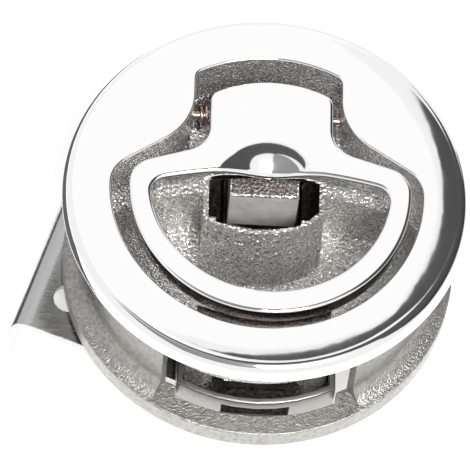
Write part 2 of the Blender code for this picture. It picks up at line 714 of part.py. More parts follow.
def build_handle():
    """Handle with its grip opening, lip, barrel, cam lug and bore."""
    steel = make_material("polished_stainless", (0.84, 0.84, 0.84), 0.06, 1.0)
    grip = d_outline(HANDLE_X, GRIP_Y, GRIP_RADIUS, GRIP_TOP, GRIP_TOP_RADIUS, GRIP_CORNER)
    handle = plate("handle", [handle_outline(), grip], HANDLE_BOTTOM, FACE_HEIGHT, PARTS, bevel=HANDLE_EDGE)
    cut(handle, turned("lip", lip_profile(), x=HANDLE_X, y=LIP_Y))

    barrel = arc(PIN_Y, PIN_Z, BARREL_RADIUS, 180.0, 360.0)
    barrel.append((PIN_Y + BARREL_RADIUS, HANDLE_BOTTOM + OVERLAP))
    barrel.append((PIN_Y - BARREL_RADIUS, HANDLE_BOTTOM + OVERLAP))
    barrel = side_plate("barrel", barrel, HUB_LEFT, HUB_RIGHT)
    keep(barrel, plate("hub_end", [hub_end()], -FAR, FAR))
    join(handle, barrel)

    tip_y = PIN_Y - LUG_FORWARD
    tip_z = PIN_Z - LUG_DROP
    lean = angle_of(-LUG_FORWARD, -LUG_DROP)
    lug = arc(tip_y, tip_z, LUG_RADIUS, lean - 90.0, lean + 90.0)
    lug += arc(PIN_Y, PIN_Z, BARREL_RADIUS - OVERLAP, lean + 90.0, lean + 270.0)
    join(handle, side_plate("cam_lug", lug, HANDLE_X - LUG_HALF_WIDTH, HANDLE_X + LUG_HALF_WIDTH))
    bore = cross_rod("hub_bore", HUB_LEFT - OVERLAP, HUB_RIGHT + OVERLAP, PIN_Y, PIN_Z, PIN_RADIUS + GAP)
    cut(handle, bore)
    return finish(handle, steel)


def build_pin():
    """Pin across the shoulders and the hub."""
    steel = make_material("pin_stainless", (0.62, 0.58, 0.52), 0.25, 1.0)
    pin = cross_rod("pivot_pin", -PIN_HALF_LENGTH, PIN_HALF_LENGTH, PIN_Y, PIN_Z, PIN_RADIUS, PARTS)
    return finish(pin, steel)


def build_handle_spring():
    """Torsion coil on the pin beside the hub, with one leg against the ear."""
    steel = make_material("spring_stainless", (0.66, 0.57, 0.46), 0.25, 1.0)
    start_x = HUB_LEFT + HANDLE_EDGE - GAP - HANDLE_SPRING_WIRE
    coil = []
    for i in range(round(HANDLE_SPRING_TURNS * COIL_STEPS) + 1):
        angle = math.radians(180.0 - 360.0 * i / COIL_STEPS)
        coil.append((start_x - HANDLE_SPRING_PITCH * i / COIL_STEPS,
                     PIN_Y + HANDLE_SPRING_RADIUS * math.cos(angle),
                     PIN_Z + HANDLE_SPRING_RADIUS * math.sin(angle)))
    ear_leg = (coil[-1][0], EAR_BACK + GAP, PIN_Z - HANDLE_SPRING_RADIUS)
    return finish(wire("handle_spring", coil + [ear_leg], HANDLE_SPRING_WIRE), steel)


# Bolt: upright, bar with slanted nose, and tongue
def build_bolt():
    """Bolt in one casting, with the window of its spring."""
    steel = make_material("bolt_stainless", (0.60, 0.58, 0.56), 0.38, 1.0)
    bar = [(BLOCK_FRONT, -BODY_DEPTH), (BLOCK_FRONT, BAR_TOP), (NOSE_REACH - NOSE_CHAMFER, BAR_TOP),
           (NOSE_REACH, BAR_TOP - NOSE_CHAMFER), (NOSE_REACH, BAR_TOP - NOSE_TIP),
           (NOSE_REACH - NOSE_BEVEL, -BODY_DEPTH)]
    bolt = side_plate("bolt", bar, -BAR_HALF_WIDTH, BAR_HALF_WIDTH, PARTS)
    upright = [(BLOCK_FRONT, -BODY_DEPTH + OVERLAP), (BLOCK_FRONT, -BLOCK_TOP),
               (BLOCK_BACK, -BLOCK_TOP + BLOCK_SLOPE), (BLOCK_BACK, -BODY_DEPTH + OVERLAP)]
    join(bolt, side_plate("upright", upright, -BLOCK_HALF_WIDTH, BLOCK_HALF_WIDTH))
    tongue_low = TROUGH_FLOOR + GAP
    tongue_high = tongue_low + TONGUE_THICKNESS
    join(bolt, block("web", -TONGUE_HALF_WIDTH, TONGUE_HALF_WIDTH, BLOCK_FRONT, BLOCK_BACK,
                     tongue_low, -BODY_DEPTH + OVERLAP))
    join(bolt, block("tongue", -TONGUE_HALF_WIDTH, TONGUE_HALF_WIDTH, -TONGUE_FRONT, BLOCK_FRONT + OVERLAP,
                     tongue_low, tongue_high))
    cut(bolt, block("spring_window", -WINDOW_HALF_WIDTH, WINDOW_HALF_WIDTH, -WINDOW_FRONT, -WINDOW_BACK,
                    tongue_low - OVERLAP, tongue_high + OVERLAP))
    return finish(bolt, steel)


def build_bolt_spring():
    """Compression coil between the peg of the cover and the end of the tongue's window."""
    steel = bpy.data.materials["spring_stainless"]
    front = -PEG_FRONT + PEG_THICKNESS + GAP + BOLT_SPRING_WIRE
    back = -WINDOW_BACK - GAP - BOLT_SPRING_WIRE
    centre_z = TROUGH_FLOOR + GAP + BOLT_SPRING_RADIUS + BOLT_SPRING_WIRE
    count = BOLT_SPRING_TURNS * SPRING_STEPS
    points = []
    for i in range(count + 1):
        angle = math.radians(360.0 * i / SPRING_STEPS)
        points.append((BOLT_SPRING_RADIUS * math.cos(angle), front + (back - front) * i / count,
                       centre_z + BOLT_SPRING_RADIUS * math.sin(angle)))
    return finish(wire("bolt_spring", points, BOLT_SPRING_WIRE), steel)


# Back cover: trough that closes the body from behind and carries the tongue
def build_cover():
    """Cover with its trough, slot, peg and screw bosses."""
    steel = make_material("cover_stainless", (0.42, 0.41, 0.40), 0.4, 1.0)
    turn = math.degrees(math.acos(COVER_HALF_WIDTH / BODY_RADIUS))
    outline = arc(0.0, 0.0, BODY_RADIUS, turn, 180.0 - turn)
    outline += arc(0.0, 0.0, BODY_RADIUS, 180.0 + turn, 360.0 - turn)
    cover = plate("back_cover", [outline], COVER_BOTTOM, COVER_TOP, PARTS, bevel=COVER_EDGE)
    inner = COVER_HALF_WIDTH - COVER_WALL
    inner_radius = BODY_RADIUS - COVER_WALL
    turn = math.degrees(math.acos(inner / inner_radius))
    trough = arc(0.0, 0.0, inner_radius, 180.0 + turn, 360.0 - turn)
    trough += [(inner, TROUGH_BACK), (-inner, TROUGH_BACK)]
    cut(cover, plate("trough", [trough], TROUGH_FLOOR, COVER_TOP + OVERLAP))
    slot_half = TONGUE_HALF_WIDTH + GAP
    cut(cover, block("slot", -slot_half, slot_half, -FAR, -TONGUE_FRONT - OVERLAP,
                     TROUGH_FLOOR, TROUGH_FLOOR + SLOT_HEIGHT))
    for side in (-1, 1):
        join(cover, rod(f"cover_boss_{side}", side * COVER_SCREW_X, -COVER_SCREW_Y, TROUGH_FLOOR - OVERLAP,
                        COVER_TOP, COVER_SCREW_RADIUS + GAP + COVER_PAD_WALL))
    join(cover, block("peg", -PEG_WIDTH / 2, PEG_WIDTH / 2, -PEG_FRONT, -PEG_FRONT + PEG_THICKNESS,
                      TROUGH_FLOOR - OVERLAP, TROUGH_FLOOR + PEG_HEIGHT))
    for side in (-1, 1):
        for end in (-1, 1):
            cut(cover, countersunk_hole(f"cover_sink_{side}_{end}", side * COVER_SCREW_X, end * COVER_SCREW_Y,
                                        COVER_SCREW_RADIUS, COVER_SCREW_HEAD, COVER_SCREW_HEAD_HEIGHT,
                                        COVER_BOTTOM, COVER_HEIGHT + OVERLAP))
    return finish(cover, steel)


def build_screw(name, x, y, face, radius, head, head_height, length, material):
    """Countersunk screw that enters from below, with a hexagon socket."""
    tip = radius * TIP_SHARE
    profile = [(0.0, face + length), (radius - tip, face + length), (radius, face + length - tip),
               (radius, face + head_height), (head, face + GAP), (head, face), (0.0, face)]
    screw = turned(name, profile, PARTS, x=x, y=y, steps=SMALL_STEPS)
    cut(screw, rod(name + "_socket", x, y, face - OVERLAP, face + head_height * SOCKET_SHARE,
                   radius * SOCKET_SHARE, steps=SOCKET_SIDES))
    return finish(screw, material)


def build_screws():
    """Two clamp screws and four cover screws."""
    steel = make_material("screw_stainless", (0.70, 0.69, 0.67), 0.25, 1.0)
    for side, side_name in ((-1, "left"), (1, "right")):
        build_screw("clamp_screw_" + side_name, side * LUG_SCREW_X, 0.0, -RING_BOTTOM, CLAMP_SCREW_RADIUS,
                    CLAMP_SCREW_HEAD, CLAMP_SCREW_HEAD_HEIGHT, CLAMP_SCREW_LENGTH, steel)
        for end, end_name in ((-1, "front"), (1, "rear")):
            build_screw(f"cover_screw_{end_name}_{side_name}", side * COVER_SCREW_X, end * COVER_SCREW_Y,
                        COVER_BOTTOM, COVER_SCREW_RADIUS, COVER_SCREW_HEAD, COVER_SCREW_HEAD_HEIGHT,
                        COVER_SCREW_LENGTH, steel)


# Clamp ring: wall, coved brim, two windows and two screw lugs
def build_clamp_ring():
    """Ring with its windows, and its lugs with their countersinks."""
    steel = make_material("ring_stainless", (0.66, 0.65, 0.63), 0.34, 1.0)
    cove_x = RING_OUTER + COVE_RADIUS
    cove_z = BRIM_TOP + COVE_RADIUS
    profile = [(RING_INNER, -GAP), (RING_OUTER, -GAP)]
    profile += arc(cove_x, cove_z, COVE_RADIUS, 180.0, 270.0)
    profile[-1] = (BRIM_RADIUS - BRIM_EDGE, BRIM_TOP)
    profile += [(BRIM_RADIUS, BRIM_TOP - BRIM_EDGE), (BRIM_RADIUS, -RING_BOTTOM + BRIM_EDGE),
                (BRIM_RADIUS - BRIM_EDGE, -RING_BOTTOM), (RING_INNER, -RING_BOTTOM)]
    ring = turned("clamp_ring", profile, PARTS, closed=True)
    for end, end_name in ((-1, "front"), (1, "rear")):
        middle = 90.0 * end
        low = middle - WINDOW_ANGLE
        high = middle + WINDOW_ANGLE
        tall = arc(0.0, 0.0, FAR, low, high) + arc(0.0, 0.0, FAR / 2, high, low)
        cut(ring, plate(f"{end_name}_window", [tall], BRIM_TOP, OVERLAP))
        low = middle - WINDOW_STEP_ANGLE
        high = middle + WINDOW_STEP_ANGLE
        shallow = arc(0.0, 0.0, RING_OUTER, low, high) + arc(0.0, 0.0, FAR / 2, high, low)
        cut(ring, plate(f"{end_name}_step", [shallow], -RING_BOTTOM - OVERLAP, BRIM_TOP + OVERLAP))
    for side in (-1, 1):
        lug = arc(LUG_SCREW_X, 0.0, RING_LUG_HALF_WIDTH, 90.0, 270.0)
        lug += [(RING_INNER + OVERLAP, -RING_LUG_HALF_WIDTH), (RING_INNER + OVERLAP, RING_LUG_HALF_WIDTH)]
        lug = [(side * x, y) for x, y in lug]
        join(ring, plate(f"ring_lug_{side}", [lug], -RING_BOTTOM, RING_LUG_TOP))
        cut(ring, countersunk_hole(f"lug_sink_{side}", side * LUG_SCREW_X, 0.0, CLAMP_SCREW_RADIUS,
                                   CLAMP_SCREW_HEAD, CLAMP_SCREW_HEAD_HEIGHT, -RING_BOTTOM,
                                   RING_LUG_THICKNESS + OVERLAP))
    return finish(ring, steel)


# Strike plate: bent sheet keeper that the brim of the ring leans on
def build_strike_plate():
    """Bent plate with two screw holes, turned and tilted as the latch stands on it."""
    steel = make_material("sheet_stainless", (0.72, 0.72, 0.72), 0.2, 1.0)
    turn = math.radians(PLATE_TURN)
    lean = math.radians(PLATE_LEAN)
    flat = Vector((math.cos(turn), math.sin(turn), 0.0))
    along = flat * math.cos(lean) - Vector((0.0, 0.0, math.sin(lean)))
    across = Vector((-math.sin(turn), math.cos(turn), 0.0))
    normal = along.cross(across)
    contact = -flat * BRIM_RADIUS - Vector((0.0, 0.0, RING_BOTTOM + GAP))
    corner = contact - along * PLATE_OVERHANG - across * PLATE_FRONT_REACH
    frame = Matrix((along, normal, -across)).transposed().to_4x4()
    frame.translation = corner
    outline = [(PLATE_LENGTH, -PLATE_THICKNESS), (PLATE_LENGTH, 0.0)]
    outline += arc(PLATE_BEND, -PLATE_BEND, PLATE_BEND, 90.0, 180.0, BEND_STEPS)
    outline += [(0.0, -PLATE_LEG), (PLATE_THICKNESS, -PLATE_LEG)]
    outline += arc(PLATE_BEND, -PLATE_BEND, PLATE_BEND - PLATE_THICKNESS, 180.0, 90.0, BEND_STEPS)
    strike = plate("strike_plate", [outline], -PLATE_WIDTH, 0.0, PARTS, place=frame)
    for inset in (PLATE_HOLE_INSET, PLATE_WIDTH - PLATE_HOLE_INSET):
        above = PLATE_THICKNESS + OVERLAP
        hole = rod(f"strike_hole_{inset:.4f}", 0.0, 0.0, -OVERLAP, above, PLATE_HOLE_RADIUS)
        centre = corner + along * PLATE_HOLE_INSET + across * inset - normal * PLATE_THICKNESS
        hole.matrix_world = Matrix.Translation(centre) @ Matrix((along, across, normal)).transposed().to_4x4()
        cut(strike, hole)
    return finish(strike, steel)


def carry(name, place, item):
    """Parent a moving piece to an empty on its joint, where it stays in place."""
    axis = bpy.data.objects.new(name, None)
    PARTS.objects.link(axis)
    axis.location = place
    bpy.context.view_layer.update()
    item.parent = axis
    item.matrix_parent_inverse = axis.matrix_world.inverted()


build_housing()
carry("handle_axis", (0.0, PIN_Y, PIN_Z), build_handle())
build_pin()
build_handle_spring()
carry("bolt_axis", (0.0, 0.0, -BODY_DEPTH + BAR_HEIGHT / 2), build_bolt())
build_bolt_spring()
build_cover()
build_screws()
build_clamp_ring()
build_strike_plate()
bpy.context.view_layer.update()
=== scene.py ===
import json
import math

import bpy
from mathutils import Matrix, Vector

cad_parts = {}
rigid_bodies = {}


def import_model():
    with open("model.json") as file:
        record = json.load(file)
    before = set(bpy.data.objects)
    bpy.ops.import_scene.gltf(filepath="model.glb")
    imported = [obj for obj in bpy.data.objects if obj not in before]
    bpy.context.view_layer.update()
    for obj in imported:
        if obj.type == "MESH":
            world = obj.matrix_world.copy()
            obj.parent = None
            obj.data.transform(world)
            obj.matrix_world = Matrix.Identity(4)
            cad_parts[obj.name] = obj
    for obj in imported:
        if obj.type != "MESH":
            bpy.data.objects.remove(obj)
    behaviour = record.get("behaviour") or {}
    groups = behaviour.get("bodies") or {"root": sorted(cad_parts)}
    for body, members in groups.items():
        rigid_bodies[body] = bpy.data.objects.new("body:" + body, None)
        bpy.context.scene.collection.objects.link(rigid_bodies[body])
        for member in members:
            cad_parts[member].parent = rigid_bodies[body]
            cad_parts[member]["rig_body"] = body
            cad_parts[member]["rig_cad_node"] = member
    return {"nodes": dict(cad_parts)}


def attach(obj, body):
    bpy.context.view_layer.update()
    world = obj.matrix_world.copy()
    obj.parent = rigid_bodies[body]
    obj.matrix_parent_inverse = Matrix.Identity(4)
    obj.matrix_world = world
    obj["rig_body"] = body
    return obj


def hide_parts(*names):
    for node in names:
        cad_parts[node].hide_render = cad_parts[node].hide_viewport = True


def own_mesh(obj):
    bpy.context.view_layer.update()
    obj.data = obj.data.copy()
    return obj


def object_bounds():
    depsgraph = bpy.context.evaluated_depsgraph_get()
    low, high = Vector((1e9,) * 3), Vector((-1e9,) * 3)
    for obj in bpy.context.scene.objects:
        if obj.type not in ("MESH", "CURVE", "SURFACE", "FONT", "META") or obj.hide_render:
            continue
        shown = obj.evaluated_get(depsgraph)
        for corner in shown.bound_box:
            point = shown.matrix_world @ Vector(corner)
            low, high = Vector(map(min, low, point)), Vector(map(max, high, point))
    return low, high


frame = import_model()
solid_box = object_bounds()

# Studio. The latch lies face up on a white table in a white room, under two soft boxes, as small
# hardware is photographed. Dark cloths overhead and at the right, a grey flag over the front left and
# a dark mat at the left give the polished metal its dark lines.
def deselect():
    """Leave no object selected."""
    bpy.ops.object.select_all(action="DESELECT")


def add_node(tree, kind, settings=(), **sockets):
    """Add a node, set its options and give each named input a value or another node's output."""
    node = tree.nodes.new(kind)
    for option, value in dict(settings).items():
        setattr(node, option, value)
    for name, value in sockets.items():
        number = name[2:]
        numbered = name.startswith("in") and number.isdigit()
        socket = node.inputs[int(number) if numbered else name.replace("_", " ")]
        if isinstance(value, bpy.types.NodeSocket):
            tree.links.new(value, socket)
        else:
            socket.default_value = value
    return node


def linear(code):
    """Turn an sRGB hex colour into linear values."""
    values = [int(code[i:i + 2], 16) / 255 for i in (1, 3, 5)]
    return tuple(v / 12.92 if v <= 0.04045 else ((v + 0.055) / 1.055) ** 2.4 for v in values) + (1.0,)


scene = bpy.context.scene
scene.view_settings.view_transform = "Standard"

TABLE_WHITE = linear("#f6f6f6")
TABLE_GLOW = 0.40
TABLE_RADIUS = 3.0
TABLE_GAP = 0.0002
CLOTH_GREY = linear("#525252")
FLAG_GREY = linear("#8c8c8c")
CLOTH_HEIGHT = 1.0
MAT_HEIGHT = -0.034
table_height = solid_box[0].z - TABLE_GAP

deselect()
bpy.ops.mesh.primitive_circle_add(vertices=96, radius=TABLE_RADIUS, fill_type="NGON", location=(0, 0, 0))
table = bpy.context.active_object
table.name = "white_table"
bpy.ops.object.mode_set(mode="EDIT")
bpy.ops.transform.translate(value=(0, 0, table_height))
bpy.ops.object.mode_set(mode="OBJECT")
paper = bpy.data.materials.new("matt_white_paper")
paper.use_nodes = True
tree = paper.node_tree
tree.nodes.remove(tree.nodes["Principled BSDF"])
rays = add_node(tree, "ShaderNodeLightPath")
seen = add_node(tree, "ShaderNodeMath", {"operation": "MAXIMUM"}, in0=rays.outputs["Is Camera Ray"],
                in1=rays.outputs["Is Glossy Ray"])
seen = add_node(tree, "ShaderNodeMath", {"operation": "MAXIMUM"}, in0=seen.outputs[0],
                in1=rays.outputs["Is Transmission Ray"])
glow = add_node(tree, "ShaderNodeMath", {"operation": "MULTIPLY"}, in0=seen.outputs[0], in1=TABLE_GLOW)
lit = add_node(tree, "ShaderNodeBsdfDiffuse", Color=TABLE_WHITE)
shine = add_node(tree, "ShaderNodeEmission", Color=(1, 1, 1, 1), Strength=glow.outputs[0])
both = add_node(tree, "ShaderNodeAddShader", in0=lit.outputs[0], in1=shine.outputs[0])
tree.links.new(both.outputs[0], tree.nodes["Material Output"].inputs["Surface"])
table.data.materials.append(paper)

world = bpy.data.worlds.new("white_studio")
scene.world = world
world.use_nodes = True
world.node_tree.nodes["Background"].inputs["Color"].default_value = (1, 1, 1, 1)
world.node_tree.nodes["Background"].inputs["Strength"].default_value = 1.0


def soft_box(name, place, size, power):
    """Square soft lamp that points from its place to the latch."""
    bpy.ops.object.light_add(type="AREA", location=place)
    lamp = bpy.context.active_object
    lamp.name = name
    lamp.data.shape = "RECTANGLE"
    lamp.data.size = size
    lamp.data.size_y = size
    lamp.data.energy = power
    lamp.rotation_euler = (-Vector(place)).to_track_quat("-Z", "Y").to_euler()
    lamp.visible_camera = False


soft_box("top_soft_box", place=(-0.15, 0.62, 1.0), size=0.8, power=0.2)
soft_box("front_soft_box", place=(0.22, -0.66, 1.0), size=0.4, power=20.0)


def curtain(name, corners, colour):
    """Matt cloth through its corners, for the metal to reflect. The camera doesn't see it."""
    deselect()
    bpy.ops.mesh.primitive_circle_add(vertices=len(corners), fill_type="NGON", location=(0, 0, 0))
    cloth = bpy.context.active_object
    cloth.name = name
    for vertex, place in zip(cloth.data.vertices, corners):
        vertex.co = place
    felt = bpy.data.materials.new(name)
    felt.use_nodes = True
    weave = felt.node_tree.nodes["Principled BSDF"]
    weave.inputs["Base Color"].default_value = colour
    weave.inputs["Roughness"].default_value = 1.0
    weave.inputs["Specular IOR Level"].default_value = 0.0
    cloth.data.materials.append(felt)
    cloth.visible_camera = False
    return cloth


ceiling = [(-0.50, 0.05), (0.0, -0.18), (0.30, -0.14), (0.62, -0.24), (1.0, -0.50), (2.0, -0.80), (2.0, 1.5)]
ceiling += [(0.90, 1.30), (0.46, 1.10), (0.38, 0.90), (0.30, 0.60), (0.27, 0.30), (0.05, 0.20), (-0.30, 0.13)]
curtain("dark_ceiling", [(x, y, CLOTH_HEIGHT) for x, y in ceiling], CLOTH_GREY)
wall = [(2.0, -0.80, CLOTH_HEIGHT), (2.0, 2.0, CLOTH_HEIGHT), (2.0, 1.8, 0.45), (2.0, -0.4, 0.45)]
curtain("dark_wall", wall, CLOTH_GREY)
flag = [(0.02, -0.18), (0.0, -1.1), (-0.75, -1.1), (-0.75, -0.05)]
curtain("grey_flag", [(x, y, CLOTH_HEIGHT) for x, y in flag], FLAG_GREY)
mat = [(-0.045, -0.02), (-0.045, 0.20), (-0.40, 0.30), (-0.40, 0.02)]
mat = curtain("dark_mat", [(x, y, MAT_HEIGHT) for x, y in mat], CLOTH_GREY)
mat.visible_shadow = False
mat.visible_diffuse = False

# Camera. Long lens, from above the front edge, with the framing of the photograph.
CAMERA_DISTANCE = 0.6058
CAMERA_AIM = Vector((0, 0, 0.0015))
back_way = Vector((-0.0513, -0.4911, 0.8696)).normalized()
right_way = Vector((0.9977, 0.0141, 0.0668))
right_way = (right_way - back_way * right_way.dot(back_way)).normalized()
up_way = back_way.cross(right_way)
turned_to = Matrix((right_way, up_way, back_way)).transposed().to_4x4()
bpy.ops.object.camera_add(location=(0, 0, 0))
camera = bpy.context.active_object
camera.matrix_world = Matrix.Translation(back_way * CAMERA_DISTANCE + CAMERA_AIM) @ turned_to
camera.data.lens = 298.9
camera.data.sensor_width = 36.0
camera.data.shift_x = -0.0674
camera.data.shift_y = -0.0809
camera.data.clip_start = 0.01
camera.data.clip_end = 20.0
scene.camera = camera

# Housing. One investment casting in 316 stainless steel: round flange, finger bowl, notch and body.
# Its face and rim are ground and mirror polished; the recess, the bowl and the body stay as cast.
FACE = 0.0042
RIM_RADIUS = 0.03175
RIM_ROLL = 0.00195
RIM_ROLL_LOW = 0.0015
RIM_BACK_ROLL = 0.00075
CROWN_START = 0.0246
CROWN_DROP = 0.0004
BODY_RADIUS = 0.0260
BODY_DEPTH = 0.0180
BODY_STRAIGHT = 0.0100
BODY_ROUND = 0.0120
GUIDE_HALF_WIDTH = 0.00895
GUIDE_RADIUS = 0.0258
GUIDE_TOP = -0.0095
RECESS_RADIUS = 0.0242
RECESS_CORNER = 0.0050
RECESS_EDGE = 0.00035
SHELF = -0.0045
SHOULDER_RADIUS = 0.0100
SHOULDER_Y = 0.0165
NOTCH_HALF_WIDTH = 0.0115
NOTCH_FRONT = 0.0125
NOTCH_BACK = 0.0234
NOTCH_FLOOR = -0.0105
NOTCH_CORNER = 0.0015
NOTCH_STEP = 0.0002
BOWL_RADIUS = 0.0239
BOWL_ROUND = 0.0119
BOWL_SIDE_LOW = 0.0042
BOWL_DEPTH = 0.0160
BOWL_BACK = 0.0051
WALL_X = -0.0008
WALL_FRONT = 0.0031
WALL_BACK = 0.0005
WALL_HALF_WIDTH = 0.0086
WALL_THICKNESS = 0.0008
WALL_SIDE = 0.0095
WALL_LEAN = 0.0036
WALL_TOP = -0.0049
CREVICE_HALF_WIDTH = 0.0067
CREVICE_BACK = 0.0004
POCKET_BACK = 0.0142
POCKET_FLOOR = -0.0132
TUNNEL_HALF_WIDTH = 0.00655
TUNNEL_FRONT = -0.0011
TUNNEL_TOP = -0.0131
PIN_Y = 0.0162
PIN_Z = -0.0018
BORE_RADIUS = 0.00105
CLAMP_SCREW_X = 0.0215
COVER_SCREW_X = 0.0089
COVER_SCREW_Y = 0.0180
CORE_RADIUS = 0.0236
CORE_X = 0.0134
CORE_Y = 0.0065
CORE_TOP = -0.0075
LEDGE_HALF_WIDTH = 0.0103
LEDGE_RADIUS = 0.0300
LEDGE_Y = 0.0093
LEDGE_BACK_RADIUS = 0.0247
LEDGE_TOP = 0.0005
LEDGE_BOTTOM = -0.0087
OVERCUT = 0.0005
TOOL_TOP = 0.0021
STEEL_POLISHED = linear("#f2f2f2")
STEEL_CAST = linear("#f6f4f1")
STEEL_CAST_DARK = linear("#989592")


def arc(x, y, radius, start, end, steps=16):
    """Points on an arc about (x, y), from start to end in degrees."""
    angles = [math.radians(start + (end - start) * i / steps) for i in range(steps + 1)]
    return [(x + radius * math.cos(a), y + radius * math.sin(a)) for a in angles]


def angle_of(x, y):
    """Direction of a point from the origin, in degrees."""
    return math.degrees(math.atan2(y, x))


def mirrored(half, x=0.0):
    """Close a right half, drawn from bottom to top, with its mirror image about the line x."""
    return half + [(2 * x - px, py) for px, py in reversed(half) if abs(px - x) > 0.00003]


def line_between(x1, y1, r1, x2, y2, r2):
    """Direction of the normal of the line that runs between two circles."""
    return angle_of(x2 - x1, y2 - y1) - math.degrees(math.acos((r1 + r2) / math.hypot(x2 - x1, y2 - y1)))


def round_end(half_width, radius, corner, x=0.0):
    """Right half of an end that an arc about the latch's axis closes."""
    side = half_width - corner
    top = math.sqrt((radius - corner) ** 2 - (x + side) ** 2)
    turn = angle_of(x + side, top)
    last = angle_of(x, math.sqrt(radius ** 2 - x ** 2))
    return arc(x + side, top, corner, 0.0, turn, 10) + arc(0, 0, radius, turn, last, 24)[1:]


def recess_line(grow=0.0):
    """Edge of the recess: round below, with two shoulders and the notch for the hub."""
    corner = RECESS_CORNER + grow
    corner_x = RECESS_RADIUS - RECESS_CORNER
    shoulder = SHOULDER_RADIUS - grow
    shoulder_x = NOTCH_HALF_WIDTH + SHOULDER_RADIUS
    lean = line_between(corner_x, 0.0, corner, shoulder_x, SHOULDER_Y, shoulder)
    half = arc(0, 0, RECESS_RADIUS + grow, -90, 0, 64) + arc(corner_x, 0, corner, 0, lean)[1:]
    half += arc(shoulder_x, SHOULDER_Y, shoulder, 180 + lean, 180, 24)
    return mirrored(half + round_end(NOTCH_HALF_WIDTH + grow, NOTCH_BACK + grow, NOTCH_CORNER + grow))


def d_line(x, y, radius, top, top_radius, corner):
    """Round opening with a flatter arc across its top."""
    span = y - top + top_radius
    rise = ((top_radius - corner) ** 2 - (radius - corner) ** 2 - span ** 2) / (2 * span)
    side = math.sqrt((radius - corner) ** 2 - rise ** 2)
    low = angle_of(side, rise)
    high = angle_of(side, rise + span)
    half = arc(x, y, radius, -90, low, 80)
    half += arc(x + side, y + rise, corner, low, high, 16)[1:]
    half += arc(x, top - top_radius, top_radius, high, 90, 40)[1:]
    return mirrored(half, x)


def arc_across(x, front, half_width, back, steps=40):
    """Arc that bulges to -Y, from its middle to its ends at y = -back."""
    drop = front - back
    radius = (half_width ** 2 + drop ** 2) / (2 * drop)
    turn = math.degrees(math.asin(half_width / radius))
    return arc(x, radius - front, radius, -90 - turn, -90 + turn, steps)


def wall_line(shift):
    """Outside of the crescent wall, moved to the front by shift, and its sides to the bowl's back."""
    front = arc_across(WALL_X, WALL_FRONT, WALL_HALF_WIDTH, WALL_BACK)
    front = [(-WALL_SIDE, -WALL_BACK + WALL_SIDE + front[0][0])] + front
    front.append((WALL_SIDE, -WALL_BACK + WALL_SIDE - front[-1][0]))
    return [(x, y - shift) for x, y in front] + [(WALL_SIDE, BOWL_BACK), (-WALL_SIDE, BOWL_BACK)]


def pocket_line():
    """Crevice behind the crescent wall, and the wider pocket of the upright behind that."""
    side = WALL_SIDE - WALL_THICKNESS
    step = WALL_X + WALL_HALF_WIDTH - WALL_THICKNESS
    line = arc_across(WALL_X, WALL_FRONT - WALL_THICKNESS, CREVICE_HALF_WIDTH, CREVICE_BACK + WALL_THICKNESS)
    line = [(line[0][0], -CREVICE_BACK)] + line + [(line[-1][0], -CREVICE_BACK)]
    line += [(step, -CREVICE_BACK), (side, side - step - CREVICE_BACK), (side, POCKET_BACK)]
    return line + [(-side, POCKET_BACK), (-side, -CREVICE_BACK)]


def ring_mesh(name, points):
    """A circle primitive with each of its corners put on a point; left in edit mode, all selected."""
    deselect()
    bpy.ops.mesh.primitive_circle_add(vertices=len(points), radius=0.01, location=(0, 0, 0))
    item = bpy.context.active_object
    item.name = name
    item.data.name = name
    for vertex, place in zip(item.data.vertices, points):
        vertex.co = place
    bpy.ops.object.mode_set(mode="EDIT")
    bpy.ops.mesh.select_all(action="SELECT")
    return item


def close_up(item):
    """Leave edit mode with doubles merged and faces turned outwards."""
    bpy.ops.mesh.select_all(action="SELECT")
    bpy.ops.mesh.remove_doubles(threshold=0.0000005)
    bpy.ops.mesh.normals_make_consistent(inside=False)
    bpy.ops.object.mode_set(mode="OBJECT")
    return item


def prism(name, line, low, high):
    """Extrude a closed line upright from low to high."""
    item = ring_mesh(name, [(x, y, low) for x, y in line])
    bpy.ops.mesh.edge_face_add()
    bpy.ops.mesh.extrude_region_move(TRANSFORM_OT_translate={"value": (0, 0, high - low)})
    return close_up(item)


def side_prism(name, line, low, high):
    """Extrude a line drawn in Y and Z from x = low to x = high."""
    item = ring_mesh(name, [(low, y, z) for y, z in line])
    bpy.ops.mesh.edge_face_add()
    bpy.ops.mesh.extrude_region_move(TRANSFORM_OT_translate={"value": (high - low, 0, 0)})
    return close_up(item)


def spun(name, profile, steps=192, x=0.0, y=0.0, ring=False):
    """Spin a profile of (radius, z) about an upright axis. A ring's profile is closed."""
    item = ring_mesh(name, [(x + r, y, z) for r, z in profile])
    if not ring:
        bpy.ops.mesh.select_all(action="DESELECT")
        bpy.ops.object.mode_set(mode="OBJECT")
        last = len(profile) - 1
        for edge in item.data.edges:
            edge.select = set(edge.vertices) == {0, last}
        bpy.ops.object.mode_set(mode="EDIT")
        bpy.ops.mesh.select_mode(type="EDGE")
        bpy.ops.mesh.delete(type="EDGE")
        bpy.ops.mesh.select_mode(type="VERT")
        bpy.ops.mesh.select_all(action="SELECT")
    bpy.ops.mesh.spin(steps=steps, angle=2 * math.pi, center=(x, y, 0), axis=(0, 0, 1))
    return close_up(item)


def post(name, radius, top, bottom, steps, x, y=0.0):
    """Upright cylinder about (x, y)."""
    return spun(name, [(0, top), (radius, top), (radius, bottom), (0, bottom)], steps, x, y)


